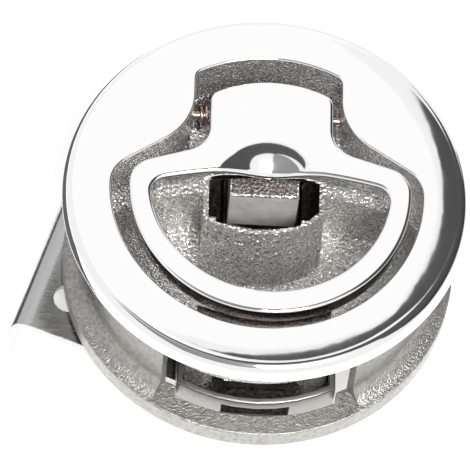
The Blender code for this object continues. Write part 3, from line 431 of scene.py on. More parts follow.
def lofted(name, lines):
    """Closed solid through stacked lines of equal count; each is a list of (x, y, z)."""
    item = ring_mesh(name, lines[0])
    bpy.ops.mesh.edge_face_add()
    bpy.ops.object.mode_set(mode="OBJECT")
    for line in lines[1:]:
        count = len(item.data.vertices)
        bpy.ops.object.mode_set(mode="EDIT")
        bpy.ops.mesh.extrude_region_move(TRANSFORM_OT_translate={"value": (0, 0, 0.001)})
        bpy.ops.object.mode_set(mode="OBJECT")
        for vertex, place in zip(item.data.vertices[count:], line):
            vertex.co = place
    bpy.ops.object.mode_set(mode="EDIT")
    return close_up(item)


def apply_all(item):
    """Apply every modifier of an object in order."""
    deselect()
    item.select_set(True)
    bpy.context.view_layer.objects.active = item
    for change in list(item.modifiers):
        bpy.ops.object.modifier_apply(modifier=change.name)


def boolean(item, tool, operation):
    """Cut, join or keep with a tool, which is then removed."""
    change = item.modifiers.new(tool.name, "BOOLEAN")
    change.operation = operation
    change.solver = "MANIFOLD"
    change.object = tool
    apply_all(item)
    bpy.data.objects.remove(tool, do_unlink=True)


def smooth(item, angle, weighted=True):
    """Smooth shading that keeps edges sharper than angle, weighted to the large faces."""
    deselect()
    item.select_set(True)
    bpy.context.view_layer.objects.active = item
    bpy.ops.object.shade_smooth_by_angle(angle=math.radians(angle))
    if weighted:
        change = item.modifiers.new("weighted", "WEIGHTED_NORMAL")
        change.keep_sharp = True
        change.weight = 100
        apply_all(item)


# The round outside: a slightly crowned face, a rolled rim and a body that curves in to its foot.
edge_x = RIM_RADIUS - RIM_ROLL
roll_rise = FACE - CROWN_DROP - RIM_ROLL_LOW
back_x = RIM_RADIUS - RIM_BACK_ROLL
outside = [(0.0, FACE), (0.0120, FACE)]
for i in range(17):
    share = i / 16
    outside.append((CROWN_START + (edge_x - CROWN_START) * share, FACE - CROWN_DROP * share ** 2))
outside += [(edge_x + RIM_ROLL * x, RIM_ROLL_LOW + roll_rise * z) for x, z in arc(0, 0, 1, 90, 0, 20)[1:]]
outside += [(back_x + RIM_BACK_ROLL * x, RIM_ROLL_LOW * (1 + z)) for x, z in arc(0, 0, 1, 0, -90, 8)[1:]]
outside.append((BODY_RADIUS, 0.0))
for x, z in arc(0, 0, 1, 0, -90, 20):
    outside.append((BODY_RADIUS + BODY_ROUND * (x - 1), -BODY_STRAIGHT + (BODY_DEPTH - BODY_STRAIGHT) * z))
outside.append((0.0, -BODY_DEPTH))
housing = spun("housing_casting", outside, steps=240)

# Block round the bolt's way out at the rear, bosses for the clamp screws and pads for the cover's.
turn = math.degrees(math.asin(GUIDE_HALF_WIDTH / GUIDE_RADIUS))
guide = [(-GUIDE_HALF_WIDTH, POCKET_BACK), (GUIDE_HALF_WIDTH, POCKET_BACK)]
guide += arc(0, 0, GUIDE_RADIUS, 90 - turn, 90 + turn)
boolean(housing, prism("rear_guide", guide, -BODY_DEPTH, GUIDE_TOP), "UNION")
for side in (-1, 1):
    boss = post("boss", radius=0.0036, top=-0.0100, bottom=-BODY_DEPTH, steps=40, x=side * CLAMP_SCREW_X)
    boolean(housing, boss, "UNION")
    for end in (-1, 1):
        pad = post("pad", radius=0.0026, top=-0.0155, bottom=-BODY_DEPTH, steps=32, x=side * COVER_SCREW_X,
                   y=end * COVER_SCREW_Y)
        boolean(housing, pad, "UNION")

# Recess, with its edge rolled where the wheel passed over it.
levels = [[(x, y, SHELF) for x, y in recess_line()]]
for i in range(7):
    a = math.radians(90 * i / 6)
    grow = RECESS_EDGE * (1 - math.cos(a))
    levels.append([(x, y, FACE - RECESS_EDGE * (1 - math.sin(a))) for x, y in recess_line(grow)])
levels[-1] = [(x, y, FACE + 0.00001) for x, y in recess_line(RECESS_EDGE * 1.01)]
levels.append([(x, y, FACE + 0.0010) for x, y in recess_line(RECESS_EDGE * 1.2)])
boolean(housing, lofted("recess", levels), "DIFFERENCE")

# Finger bowl, and the crescent wall that stands in it round the bolt's upright.
bowl_line = [(0, SHELF + OVERCUT), (BOWL_RADIUS, SHELF + OVERCUT)]
for x, z in arc(0, 0, 1, 0, -90, 24):
    bowl_line.append((BOWL_RADIUS + BOWL_ROUND * (x - 1), -BOWL_SIDE_LOW + (BOWL_DEPTH - BOWL_SIDE_LOW) * z))
bowl = spun("bowl", bowl_line + [(0, -BOWL_DEPTH)], steps=160)
bowl_limit = d_line(x=0, y=0, radius=0.0244, top=0.0046, top_radius=0.0600, corner=0.0040)
boolean(bowl, prism("bowl_limit", bowl_limit, -BODY_DEPTH, FACE), "INTERSECT")
boolean(housing, bowl, "DIFFERENCE")
levels = [[(x, y, -BOWL_DEPTH - OVERCUT) for x, y in wall_line(WALL_LEAN)]]
levels.append([(x, y, WALL_TOP) for x, y in wall_line(0.0)])
boolean(housing, lofted("crescent", levels), "UNION")

# Pocket of the upright, notch of the hub, tunnel of the bar and the bore of the pin.
boolean(housing, prism("pocket", pocket_line(), POCKET_FLOOR, TOOL_TOP), "DIFFERENCE")
notch_side = NOTCH_HALF_WIDTH - NOTCH_STEP
notch = [(0.0, NOTCH_FRONT), (notch_side, NOTCH_FRONT)]
notch += round_end(notch_side, NOTCH_BACK - NOTCH_STEP, NOTCH_CORNER)
boolean(housing, prism("notch", mirrored(notch), NOTCH_FLOOR, TOOL_TOP), "DIFFERENCE")
below = -BODY_DEPTH - OVERCUT
tunnel = [(-TUNNEL_HALF_WIDTH, TUNNEL_FRONT), (TUNNEL_HALF_WIDTH, TUNNEL_FRONT)]
tunnel += [(TUNNEL_HALF_WIDTH, 0.04), (-TUNNEL_HALF_WIDTH, 0.04)]
boolean(housing, prism("tunnel", tunnel, below, TUNNEL_TOP), "DIFFERENCE")
hole = side_prism("pin_hole", arc(PIN_Y, PIN_Z, BORE_RADIUS, 0, 360, 32)[:-1], -0.04, 0.04)
boolean(housing, hole, "DIFFERENCE")

# Screw holes from below, and the hollows cored out beside the tunnel.
low = angle_of(math.sqrt(CORE_RADIUS ** 2 - CORE_Y ** 2), CORE_Y)
high = angle_of(CORE_X, math.sqrt(CORE_RADIUS ** 2 - CORE_X ** 2))
for side in (-1, 1):
    hole = post("clamp_hole", radius=0.0023, top=-0.0147, bottom=below, steps=32, x=side * CLAMP_SCREW_X)
    boolean(housing, hole, "DIFFERENCE")
    for end in (-1, 1):
        hole = post("cover_hole", radius=0.0016, top=-0.0152, bottom=below, steps=24, x=side * COVER_SCREW_X,
                    y=end * COVER_SCREW_Y)
        boolean(housing, hole, "DIFFERENCE")
    core = [(side * x, y) for x, y in [(CORE_X, CORE_Y)] + arc(0, 0, CORE_RADIUS, low, high)]
    boolean(housing, prism("core", core, below, CORE_TOP), "DIFFERENCE")

# Rest ledge at the front, and the ear in the notch that holds the coil's leg.
reach = math.degrees(math.asin(LEDGE_HALF_WIDTH / LEDGE_RADIUS))
ledge = arc(0, LEDGE_Y, LEDGE_RADIUS, -90 + reach, -90 - reach)
reach = math.degrees(math.asin(LEDGE_HALF_WIDTH / LEDGE_BACK_RADIUS))
ledge += arc(0, 0, LEDGE_BACK_RADIUS, -90 - reach, -90 + reach)
boolean(housing, prism("ledge", ledge, LEDGE_BOTTOM, LEDGE_TOP), "UNION")
ear = [(-0.0120, 0.0095), (-0.0096, 0.0095), (-0.0096, 0.0141), (-0.0120, 0.0141)]
boolean(housing, prism("ear", ear, -0.0110, -0.0028), "UNION")
smooth(housing, angle=38)


def metal(name, colour, roughness):
    """Principled metal, with its shader and its object coordinates."""
    made = bpy.data.materials.new(name)
    made.use_nodes = True
    shader = made.node_tree.nodes["Principled BSDF"]
    shader.inputs["Metallic"].default_value = 1.0
    shader.inputs["Base Color"].default_value = colour
    shader.inputs["Roughness"].default_value = roughness
    place = add_node(made.node_tree, "ShaderNodeTexCoord").outputs["Object"]
    return made, made.node_tree, shader, place


# Mirror-polished 316: the polisher's wheel leaves slow waves about 6 mm long and a faint haze in
# patches of about 11 mm.
polished, tree, shader, place = metal("mirror_polished_316_stainless", STEEL_POLISHED, 0.05)
waves = add_node(tree, "ShaderNodeTexNoise", Vector=place, Scale=170.0, Detail=2.0, Roughness=0.4)
haze = add_node(tree, "ShaderNodeTexNoise", Vector=place, Scale=90.0, Detail=3.0)
haze_level = add_node(tree, "ShaderNodeMapRange", in0=haze.outputs[0], in1=0.3, in2=0.7, in3=0.035,
                      in4=0.09)
tree.links.new(haze_level.outputs[0], shader.inputs["Roughness"])
swell = add_node(tree, "ShaderNodeBump", Height=waves.outputs[0], Strength=0.06, Distance=0.0006)
tree.links.new(swell.outputs[0], shader.inputs["Normal"])

# Investment-cast 316 left as cast: the shell's grain shows as pimples of 0.4 to 0.5 mm, with dull and
# bright spots of the same size.
cast, tree, shader, place = metal("as_cast_316_stainless", STEEL_CAST, 0.24)
shader.inputs["Metallic"].default_value = 0.85
grain = add_node(tree, "ShaderNodeTexNoise", Vector=place, Scale=2500.0, Detail=2.0, Roughness=0.5)
pimples = add_node(tree, "ShaderNodeTexVoronoi", {"feature": "SMOOTH_F1"}, Vector=place, Scale=2100.0)
spots = add_node(tree, "ShaderNodeTexNoise", Vector=place, Scale=2300.0, Detail=3.0, Roughness=0.65)
mottle = add_node(tree, "ShaderNodeValToRGB", Fac=spots.outputs[0])
mottle.color_ramp.elements[0].position = 0.34
mottle.color_ramp.elements[0].color = STEEL_CAST_DARK
mottle.color_ramp.elements[1].position = 0.60
mottle.color_ramp.elements[1].color = STEEL_CAST
tree.links.new(mottle.outputs[0], shader.inputs["Base Color"])
dull = add_node(tree, "ShaderNodeMapRange", in0=spots.outputs[0], in1=0.3, in2=0.7, in3=0.34, in4=0.12)
tree.links.new(dull.outputs[0], shader.inputs["Roughness"])
rise = add_node(tree, "ShaderNodeMath", {"operation": "SUBTRACT"}, in0=grain.outputs[0],
                in1=pimples.outputs[0])
skin = add_node(tree, "ShaderNodeBump", Height=rise.outputs[0], Strength=1.0, Distance=0.00026)
tree.links.new(skin.outputs[0], shader.inputs["Normal"])

# The same casting in the pocket and under the front rim, coloured dark brown with a grain of 0.4 mm:
# painted shade for these hollows and gaps, where the light doesn't reach.
painted_shade, tree, shader, place = metal("painted_shade_cast_316_stainless", linear("#544e49"), 0.3)
shade_grain = add_node(tree, "ShaderNodeTexNoise", Vector=place, Scale=2300.0, Detail=3.0, Roughness=0.6)
brown = add_node(tree, "ShaderNodeValToRGB", Fac=shade_grain.outputs[0])
brown.color_ramp.elements[0].position = 0.35
brown.color_ramp.elements[0].color = linear("#312d2a")
brown.color_ramp.elements[1].position = 0.65
brown.color_ramp.elements[1].color = linear("#5f5a56")
tree.links.new(brown.outputs[0], shader.inputs["Base Color"])
shade_grain_rise = add_node(tree, "ShaderNodeBump", Height=shade_grain.outputs[0], Strength=0.8, Distance=0.00018)
tree.links.new(shade_grain_rise.outputs[0], shader.inputs["Normal"])

housing.data.materials.clear()
housing.data.materials.append(polished)
housing.data.materials.append(cast)
housing.data.materials.append(painted_shade)
# The wheel reached the face and the rim; the recess, the bowl and the body keep their grain.
for face in housing.data.polygons:
    x, y, z = face.center
    radius = math.hypot(x, y)
    wheel_reached = radius > BODY_RADIUS + 0.0001 or z > FACE - RECESS_EDGE - 0.00001
    face.material_index = 0 if wheel_reached else 1
    # The pocket behind the crescent wall, the crevice and the recess wall and ledge under the front rim get
    # the dark brown material: painted shade.
    behind_wall = abs(x) < WALL_SIDE - WALL_THICKNESS + 0.0001 and -0.0006 < y < POCKET_BACK and z < -0.0047
    in_crevice = abs(x) < 0.0076 and -0.0024 < y < 0.0 and z < -0.0052
    front_wall = z > SHELF and y < -0.0080 and abs(radius - RECESS_RADIUS) < 0.0001
    front_ledge = y < -0.0190 and -0.0090 < z < 0.0006
    under_rim = (front_wall or front_ledge) and not wheel_reached and radius < 0.0255
    if behind_wall or in_crevice or under_rim:
        face.material_index = 2
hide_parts("housing")
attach(housing, "body")

# Handle. One casting in 316: a flat ring band, two arms and a hub that rolls down to a finger lip,
# with the barrel on the pin and the lug that draws the bolt. Polished all over.
HANDLE_X = 0.0005
HANDLE_Y = 0.0004
HANDLE_RADIUS = 0.0220
HANDLE_CORNER = 0.0045
HANDLE_BOTTOM = 0.0008
HANDLE_EDGE = 0.0006
NECK_X = 0.0147
NECK_Y = 0.0109
HUB_BACK = 0.0194
HUB_CORNER = 0.0020
HUB_CORNER_X = 0.0077
LIP_Y = -0.0005
LIP_START = 0.0101
LIP_REACH = 0.0063
LIP_DROP = 0.0024
RAYS_Y = -0.0020
BARREL_RADIUS = 0.0032
BARREL_TOP = 0.0013
BARREL_HALF_LENGTH = 0.0097
HUB_END_HALF_WIDTH = 0.0093
HUB_END_BACK = 0.0190
LUG_Y = 0.0112
LUG_Z = -0.0108
LUG_RADIUS = 0.0022
LUG_ROOT_RADIUS = 0.0027
LUG_HALF_WIDTH = 0.0060


def handle_line():
    """Outside of the handle: the round band, the necks and the back of the hub."""
    corner_x = HANDLE_X + HANDLE_RADIUS - HANDLE_CORNER
    lean = line_between(corner_x, HANDLE_Y, HANDLE_CORNER, NECK_X, NECK_Y, HANDLE_CORNER)
    half = arc(HANDLE_X, HANDLE_Y, HANDLE_RADIUS, -90, 0, 60)
    half += arc(corner_x, HANDLE_Y, HANDLE_CORNER, 0, lean, 16)[1:]
    half += arc(NECK_X, NECK_Y, HANDLE_CORNER, 180 + lean, 180, 16)
    back_y = math.sqrt((HUB_BACK - HUB_CORNER) ** 2 - HUB_CORNER_X ** 2)
    turn = angle_of(HUB_CORNER_X, back_y)
    half += arc(HANDLE_X + HUB_CORNER_X, back_y, HUB_CORNER, 0, turn, 12)
    half += arc(HANDLE_X, 0, HUB_BACK, turn, 90, 40)[1:]
    return mirrored(half, HANDLE_X)


def even(line, count):
    """Spread count points evenly along a closed line."""
    closed = line + [line[0]]
    lengths = [0.0]
    for a, b in zip(closed, closed[1:]):
        lengths.append(lengths[-1] + math.dist(a, b))
    spread = []
    k = 0
    for i in range(count):
        along = lengths[-1] * i / count
        while lengths[k + 1] < along:
            k += 1
        t = (along - lengths[k]) / (lengths[k + 1] - lengths[k])
        spread.append(tuple(a + (b - a) * t for a, b in zip(closed[k], closed[k + 1])))
    return spread


def ray_hit(line, x, y, dx, dy):
    """Where a ray from (x, y) meets a closed line."""
    for (ax, ay), (bx, by) in zip(line, line[1:] + line[:1]):
        ex, ey = bx - ax, by - ay
        det = ex * dy - ey * dx
        if abs(det) < 1e-15:
            continue
        t = (ex * (ay - y) - ey * (ax - x)) / det
        s = (dx * (ay - y) - dy * (ax - x)) / det
        if t > 0 and -1e-9 <= s <= 1 + 1e-9:
            return x + dx * t, y + dy * t
    return x, y


def inward(line):
    """Unit normals to the left of a closed line's direction."""
    ways = []
    for i in range(len(line)):
        ax, ay = line[i - 1]
        bx, by = line[(i + 1) % len(line)]
        size = math.hypot(bx - ax, by - ay)
        ways.append((-(by - ay) / size, (bx - ax) / size))
    return ways


def top_height(x, y):
    """Height of the handle's top, which rolls down to the finger lip."""
    share = (LIP_START - math.hypot(x - HANDLE_X, y - LIP_Y)) / LIP_REACH
    share = min(max(share, 0.0), 1.0)
    return FACE - LIP_DROP * share ** 2


# The band is drawn as sections across it, each with rounded edges, set round the handle's outside.
SECTIONS = 480
ACROSS = 44
outer = even(handle_line(), SECTIONS)
opening = d_line(x=HANDLE_X, y=0.0009, radius=0.0186, top=0.0033, top_radius=0.0700, corner=0.0025)
inner = [ray_hit(opening, HANDLE_X, RAYS_Y, x - HANDLE_X, y - RAYS_Y) for x, y in outer]
outer_in = inward(outer)
inner_in = inward(inner)
turns = [math.radians(a) for a in (0, 18, 36, 54, 72, 90)]
rounding = [(1 - math.cos(a), 1 - math.sin(a)) for a in turns]
sections = []
for (ox, oy), (onx, ony), (ix, iy), (inx, iny) in zip(outer, outer_in, inner, inner_in):
    inner_edge = []
    outer_edge = []
    for set_in, fall in rounding:
        drop = HANDLE_EDGE * fall
        inner_edge.append((ix - inx * set_in * HANDLE_EDGE, iy - iny * set_in * HANDLE_EDGE, drop))
        outer_edge.append((ox + onx * set_in * HANDLE_EDGE, oy + ony * set_in * HANDLE_EDGE, drop))
    path = [(x, y, top_height(x, y) - drop) for x, y, drop in inner_edge]
    start = path[-1]
    end = outer_edge[-1]
    for i in range(1, ACROSS):
        x = start[0] + (end[0] - start[0]) * i / ACROSS
        y = start[1] + (end[1] - start[1]) * i / ACROSS
        path.append((x, y, top_height(x, y)))
    path += [(x, y, top_height(x, y) - drop) for x, y, drop in reversed(outer_edge)]
    path += [(x, y, HANDLE_BOTTOM + drop) for x, y, drop in outer_edge]
    path += [(x, y, HANDLE_BOTTOM + drop) for x, y, drop in reversed(inner_edge)]
    sections.append(path)

deselect()
bpy.ops.mesh.primitive_grid_add(x_subdivisions=SECTIONS, y_subdivisions=len(sections[0]), size=1.0,
                                location=(0, 0, 0))
handle = bpy.context.active_object
handle.name = "handle_casting"
handle.data.name = "handle_casting"
for vertex in handle.data.vertices:
    path = sections[round((vertex.co.x + 0.5) * SECTIONS) % SECTIONS]
    vertex.co = path[round((vertex.co.y + 0.5) * len(path)) % len(path)]
bpy.ops.object.mode_set(mode="EDIT")
close_up(handle)

# Barrel about the pin, the lug that reaches down to the bolt's upright, and the bore through both.
barrel = arc(PIN_Y, PIN_Z, BARREL_RADIUS, 180, 360, 32)
barrel += [(PIN_Y + BARREL_RADIUS, BARREL_TOP), (PIN_Y - BARREL_RADIUS, BARREL_TOP)]
barrel = side_prism("barrel", barrel, HANDLE_X - BARREL_HALF_LENGTH, HANDLE_X + BARREL_HALF_LENGTH)
hub_end = [(0.0, 0.0033), (HUB_END_HALF_WIDTH, 0.0033)] + round_end(HUB_END_HALF_WIDTH, HUB_END_BACK, 0.0016)
hub_end = [(x + HANDLE_X, y) for x, y in mirrored(hub_end)]
boolean(barrel, prism("hub_end", hub_end, -0.02, 0.02), "INTERSECT")
boolean(handle, barrel, "UNION")
lean = angle_of(LUG_Y - PIN_Y, LUG_Z - PIN_Z)
lug = arc(LUG_Y, LUG_Z, LUG_RADIUS, lean - 90, lean + 90, 20)
lug += arc(PIN_Y, PIN_Z, LUG_ROOT_RADIUS, lean + 90, lean + 270, 20)
boolean(handle, side_prism("lug", lug, HANDLE_X - LUG_HALF_WIDTH, HANDLE_X + LUG_HALF_WIDTH), "UNION")
bore = arc(PIN_Y, PIN_Z, BORE_RADIUS, 0, 360, 32)[:-1]
bore = side_prism("bore", bore, HANDLE_X - 0.0105, HANDLE_X + 0.0105)
boolean(handle, bore, "DIFFERENCE")
smooth(handle, angle=38)
handle.data.materials.clear()
handle.data.materials.append(polished)
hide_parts("handle")
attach(handle, "handle")

# Pivot pin. Drawn 316 rod, cut to length with rounded ends and pressed into the shoulders. It was hot
# when the casting beside it was welded and keeps a straw to purple tint.
PIN_RADIUS = 0.00075
PIN_LENGTH = 0.0390


def dress(item, material, node, body):
    """Give a piece its material and put it on its body in a solid's place."""
    item.data.materials.clear()
    item.data.materials.append(material)
    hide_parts(node)
    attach(item, body)


def rounded(item, width, segments=2, angle=40):
    """Round the sharp edges of a piece."""
    change = item.modifiers.new("round", "BEVEL")
    change.width = width
    change.segments = segments
    change.limit_method = "ANGLE"
    change.angle_limit = math.radians(angle)
    change.use_clamp_overlap = True
    apply_all(item)
    smooth(item, angle=45)


# Drawn 316, heat tinted: smooth and fairly bright, with straw, violet and grey-brown in patches of 2 mm.
tinted, tree, shader, place = metal("heat_tinted_spring_steel", linear("#c9b8a4"), 0.22)
tint = add_node(tree, "ShaderNodeTexNoise", Vector=place, Scale=500.0, Detail=2.0)
straw = add_node(tree, "ShaderNodeValToRGB", Fac=tint.outputs[0])
straw.color_ramp.elements[0].position = 0.35
straw.color_ramp.elements[0].color = linear("#a3938c")
straw.color_ramp.elements[1].position = 0.62
straw.color_ramp.elements[1].color = linear("#ecdcb8")
violet = straw.color_ramp.elements.new(0.5)
violet.color = linear("#c9a9a6")
tree.links.new(straw.outputs[0], shader.inputs["Base Color"])

deselect()
bpy.ops.mesh.primitive_cylinder_add(vertices=48, radius=PIN_RADIUS, depth=PIN_LENGTH,
                                    location=(0, PIN_Y, PIN_Z), rotation=(0, math.pi / 2, 0))
pin = bpy.context.active_object
pin.name = "drawn_pin"
bpy.ops.object.transform_apply(location=True, rotation=True, scale=True)
rounded(pin, width=0.0002, segments=3)
dress(pin, tinted, "pivot_pin", "body")

# Handle spring. Spring wire of 0.6 mm wound cold into a torsion coil that sits on the pin at the left
# of the hub, with a leg on the ear. It has the same heat tint as the pin.
COIL_TURNS = 1.75
COIL_PITCH = 0.00075
COIL_RADIUS = 0.00145
COIL_START = -0.0094
COIL_LEG_Y = 0.0144
COIL_STEPS = 112
COIL_WIRE_RADIUS = 0.0003


def wire_piece(name, places, radius, sides):
    """Round wire along places, as a curve turned into a mesh."""
    deselect()
    bpy.ops.curve.primitive_nurbs_path_add(location=(0, 0, 0))
    item = bpy.context.active_object
    item.name = name
    item.data.splines.clear()
    line = item.data.splines.new("POLY")
    line.points.add(len(places) - 1)
    for point, (x, y, z) in zip(line.points, places):
        point.co = (x, y, z, 1)
    item.data.bevel_depth = radius
    item.data.bevel_resolution = sides
    item.data.use_fill_caps = True
    bpy.ops.object.convert(target="MESH")
    bpy.ops.object.mode_set(mode="EDIT")
    close_up(item)
    smooth(item, angle=50, weighted=False)
    return item


coil = []
for i in range(COIL_STEPS + 1):
    share = i / COIL_STEPS
    a = math.radians(180 - 360 * COIL_TURNS * share)
    x = COIL_START - COIL_PITCH * COIL_TURNS * share
    coil.append((x, PIN_Y + COIL_RADIUS * math.cos(a), PIN_Z + COIL_RADIUS * math.sin(a)))
coil.append((coil[-1][0], COIL_LEG_Y, coil[-1][2]))
torsion = wire_piece("torsion_coil", coil, COIL_WIRE_RADIUS, sides=4)
dress(torsion, tinted, "handle_spring", "body")

# Bolt spring. Spring wire of 0.5 mm wound cold into a compression coil that lies in the cover's trough
# and pushes the tongue. In use it gets shorter towards its fixed end as the bolt slides back; here it is
# drawn at one length.
SPRING_TURNS = 7
SPRING_RADIUS = 0.00105
SPRING_FIXED_Y = -0.01635
SPRING_FREE_Y = -0.00255
SPRING_Z = -0.0219
SPRING_STEPS = 224
SPRING_WIRE_RADIUS = 0.00025

coil = []
for i in range(SPRING_STEPS + 1):
    share = i / SPRING_STEPS
    a = math.radians(360 * SPRING_TURNS * share)
    y = SPRING_FIXED_Y + (SPRING_FREE_Y - SPRING_FIXED_Y) * share
    coil.append((SPRING_RADIUS * math.cos(a), y, SPRING_Z + SPRING_RADIUS * math.sin(a)))
spring = wire_piece("compression_coil", coil, SPRING_WIRE_RADIUS, sides=4)
dress(spring, tinted, "bolt_spring", "body")
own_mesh(spring)


# Bolt. A 316 casting, blasted: the upright that the handle's lug draws back, the bar with its slanted
# nose, and the tongue that the compression coil pushes.
def copy_of(node, name):
    """Merged copy of a solid of the frame, ready to be shaped."""
    made = frame["nodes"][node].copy()
    made.data = made.data.copy()
    made.name = name
    made.data.name = name
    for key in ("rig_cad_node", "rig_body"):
        if key in made:
            del made[key]
    bpy.context.scene.collection.objects.link(made)
    made.parent = None
    made.data.materials.clear()
    deselect()
    made.select_set(True)
    bpy.context.view_layer.objects.active = made
    bpy.ops.object.mode_set(mode="EDIT")
    bpy.ops.mesh.select_all(action="SELECT")
    bpy.ops.mesh.remove_doubles(threshold=0.000001)
    bpy.ops.mesh.tris_convert_to_quads(face_threshold=math.radians(1), shape_threshold=math.radians(180))
    bpy.ops.object.mode_set(mode="OBJECT")
    return made


# Blasted 316: dull and pale, with a grit of 0.4 mm and soft patches of 3 mm.
blasted, tree, shader, place = metal("blasted_cast_316_stainless", linear("#eeece9"), 0.5)
shader.inputs["Metallic"].default_value = 0.55
grit = add_node(tree, "ShaderNodeTexNoise", Vector=place, Scale=2600.0, Detail=3.0)
patches = add_node(tree, "ShaderNodeTexNoise", Vector=place, Scale=300.0, Detail=3.0)
shade = add_node(tree, "ShaderNodeValToRGB", Fac=patches.outputs[0])
shade.color_ramp.elements[0].position = 0.3
shade.color_ramp.elements[0].color = linear("#d8d5d1")
shade.color_ramp.elements[1].position = 0.66
shade.color_ramp.elements[1].color = linear("#f8f6f3")
tree.links.new(shade.outputs[0], shader.inputs["Base Color"])
pits = add_node(tree, "ShaderNodeBump", Height=grit.outputs[0], Strength=0.4, Distance=0.00015)
tree.links.new(pits.outputs[0], shader.inputs["Normal"])
bolt = copy_of("bolt", "bolt_casting")
rounded(bolt, width=0.0003)
dress(bolt, blasted, "bolt", "bolt")
bolt.data.materials.append(cast)
bolt.data.materials.append(painted_shade)
# Tops and bevels show the grain of the casting. The upright's flat top, the bar inside its tunnel and
# the end of the tongue are coloured dark brown: painted shade.
for face in bolt.data.polygons:
    y, z = face.center.yz
    up = face.normal.z
    block_or_tongue = z > -0.009 or z < -0.0165
    if up > 0.3 and block_or_tongue:
        face.material_index = 1
    in_tunnel = -0.0150 < z < -0.0120 and y < 0.0250
    block_top = up > 0.5 and z > -0.009 and face.area > 0.000005
    tongue_end = y < -0.0200 and z < -0.0180 and up < 0.5
    if block_top or in_tunnel or tongue_end:
        face.material_index = 2

# Back cover. A 316 trough, cast and then milled outside, that closes the body from behind and carries
# the tongue. It is held by four countersunk screws.

# Satin 316 from the mill: the cutter leaves lines 6 mm long and 0.25 mm apart along the trough.
satin, tree, shader, place = metal("satin_milled_316_stainless", linear("#8e8b88"), 0.34)
stretch = add_node(tree, "ShaderNodeMapping", Vector=place, Scale=(4000.0, 160.0, 4000.0))
brush = add_node(tree, "ShaderNodeTexNoise", Vector=stretch.outputs[0], Scale=1.0, Detail=2.0)
lines = add_node(tree, "ShaderNodeBump", Height=brush.outputs[0], Strength=0.12, Distance=0.00008)
tree.links.new(lines.outputs[0], shader.inputs["Normal"])
tone = add_node(tree, "ShaderNodeMapRange", in0=brush.outputs[0], in1=0.3, in2=0.7, in3=0.26, in4=0.44)
tree.links.new(tone.outputs[0], shader.inputs["Roughness"])
cover = copy_of("back_cover", "milled_cover")
rounded(cover, width=0.00015)
dress(cover, satin, "back_cover", "body")
cover.data.materials.append(cast)
cover.data.materials.append(painted_shade)
# Inside, the trough stays as cast, and its floor is coloured dark brown: painted shade.
for face in cover.data.polygons:
    x, y, z = face.center
    up = face.normal.z
    in_trough = abs(x) < 0.0116 and math.hypot(x, y) < 0.0251 and -0.0236 < z < -0.0184
    if in_trough and up > -0.5:
        face.material_index = 2 if up > 0.7 and z < -0.0220 else 1

# Screws. Turned A4 stainless, countersunk, with a hexagon socket: four hold the cover to the body and
# two draw the clamp ring to the panel.

# Turned A4: bright, with the lathe's faint swirl, drawn 0.7 mm wide so that it shows.
turned, tree, shader, place = metal("turned_a4_stainless", linear("#c4c1bc"), 0.22)
swirl = add_node(tree, "ShaderNodeTexNoise", Vector=place, Scale=1400.0, Detail=2.0)
tone = add_node(tree, "ShaderNodeMapRange", in0=swirl.outputs[0], in1=0.3, in2=0.7, in3=0.16, in4=0.3)
tree.links.new(tone.outputs[0], shader.inputs["Roughness"])
for node in sorted(n for n in frame["nodes"] if "screw" in n):
    screw = copy_of(node, node + "_turned")
    rounded(screw, width=0.00008)
    dress(screw, turned, node, "body")

# Clamp ring. A 316 casting behind the panel: a short wall with a coved brim, open at the front and
# the rear, and two lugs for its screws. Bead blasted, with the grain of the casting left.
RING_INSIDE = 0.0265
RING_OUTSIDE = 0.0280
RING_TOP = -0.0003
COVE_RADIUS = 0.0032
BRIM_TOP = -0.0187
BRIM_BOTTOM = -0.0226
BRIM_EDGE = 0.0003
WINDOW_HALF_ANGLE = 32.5
STEP_SET_IN = 4.2
RING_LUG_RADIUS = 0.0045
RING_LUG_OUT = 0.0270
RING_LUG_TOP = -0.0196
SINK_HOLE = 0.0023
SINK_HEAD = 0.0043
SINK_TOP = -0.0203
SINK_BOTTOM = -0.0223

brim_radius = RING_OUTSIDE + COVE_RADIUS
edge_x = brim_radius - BRIM_EDGE
brim = [(RING_INSIDE, RING_TOP), (RING_OUTSIDE, RING_TOP)]
brim += arc(brim_radius, BRIM_TOP + COVE_RADIUS, COVE_RADIUS, 180, 270, 20)[:-1]
brim += [(edge_x, BRIM_TOP)] + arc(edge_x, BRIM_TOP - BRIM_EDGE, BRIM_EDGE, 90, 0, 4)
brim += arc(edge_x, BRIM_BOTTOM + BRIM_EDGE, BRIM_EDGE, 0, -90, 4) + [(RING_INSIDE, BRIM_BOTTOM)]
ring = spun("ring_casting", brim, steps=240, ring=True)

# Front and rear window, each with a step through the brim, and the lugs with their countersinks.
through = BRIM_BOTTOM - OVERCUT
for middle in (-90, 90):
    low = middle - WINDOW_HALF_ANGLE
    high = middle + WINDOW_HALF_ANGLE
    window = arc(0, 0, 0.04, low, high, 24) + arc(0, 0, 0.02, high, low, 24)
    boolean(ring, prism("window", window, BRIM_TOP, OVERCUT), "DIFFERENCE")
    low += STEP_SET_IN
    high -= STEP_SET_IN
    step = arc(0, 0, RING_OUTSIDE, low, high, 40) + arc(0, 0, 0.02, high, low, 24)
    boolean(ring, prism("step", step, through, BRIM_TOP + OVERCUT), "DIFFERENCE")
for side in (-1, 1):
    lug = arc(CLAMP_SCREW_X, 0, RING_LUG_RADIUS, 90, 270, 24)
    lug += [(RING_LUG_OUT, -RING_LUG_RADIUS), (RING_LUG_OUT, RING_LUG_RADIUS)]
    boolean(ring, prism("lug", [(side * x, y) for x, y in lug], BRIM_BOTTOM, RING_LUG_TOP), "UNION")
    sink = [(0, RING_LUG_TOP + OVERCUT), (SINK_HOLE, RING_LUG_TOP + OVERCUT), (SINK_HOLE, SINK_TOP)]
    sink += [(SINK_HEAD, SINK_BOTTOM), (SINK_HEAD, through), (0, through)]
    boolean(ring, spun("sink", sink, 40, side * CLAMP_SCREW_X), "DIFFERENCE")
smooth(ring, angle=38)

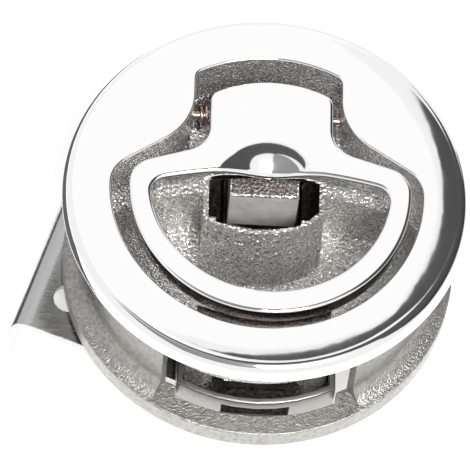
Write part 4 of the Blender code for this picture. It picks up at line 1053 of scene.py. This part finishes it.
# Bead-blasted 316: an even grey with a grain of 0.4 mm and patches of 0.8 mm, drawn coarse enough to show.
beaded, tree, shader, place = metal("bead_blasted_cast_316_stainless", linear("#c8c5c0"), 0.34)
grain = add_node(tree, "ShaderNodeTexNoise", Vector=place, Scale=2600.0, Detail=3.0, Roughness=0.6)
patches = add_node(tree, "ShaderNodeTexNoise", Vector=place, Scale=1300.0, Detail=4.0)
shade = add_node(tree, "ShaderNodeValToRGB", Fac=patches.outputs[0])
shade.color_ramp.elements[0].position = 0.3
shade.color_ramp.elements[0].color = linear("#84837f")
shade.color_ramp.elements[1].position = 0.6
shade.color_ramp.elements[1].color = linear("#a09f9b")
tree.links.new(shade.outputs[0], shader.inputs["Base Color"])
pits = add_node(tree, "ShaderNodeBump", Height=grain.outputs[0], Strength=0.9, Distance=0.00022)
tree.links.new(pits.outputs[0], shader.inputs["Normal"])
dress(ring, beaded, "clamp_ring", "body")

# Strike plate. 1.5 mm 316 sheet, sheared to length, drilled twice and folded once. It is the bolt's
# keeper, a loose piece that is screwed to the frame in use.
PLATE_TURN = 17.2

# Cold-rolled sheet, lightly polished: bright, with rolling lines 8 mm long and 0.4 mm apart along it.
sheet, tree, shader, place = metal("cold_rolled_316_sheet", linear("#b2b2b2"), 0.2)
along = add_node(tree, "ShaderNodeMapping", Vector=place, Rotation=(0, 0, math.radians(PLATE_TURN)),
                 Scale=(120.0, 2600.0, 2600.0))
rolling = add_node(tree, "ShaderNodeTexNoise", Vector=along.outputs[0], Scale=1.0, Detail=3.0)
tone = add_node(tree, "ShaderNodeMapRange", in0=rolling.outputs[0], in1=0.3, in2=0.7, in3=0.14, in4=0.3)
tree.links.new(tone.outputs[0], shader.inputs["Roughness"])
lines = add_node(tree, "ShaderNodeBump", Height=rolling.outputs[0], Strength=0.08, Distance=0.00006)
tree.links.new(lines.outputs[0], shader.inputs["Normal"])
strike = copy_of("strike_plate", "folded_strike_plate")
rounded(strike, width=0.00012)
dress(strike, sheet, "strike_plate", "body")
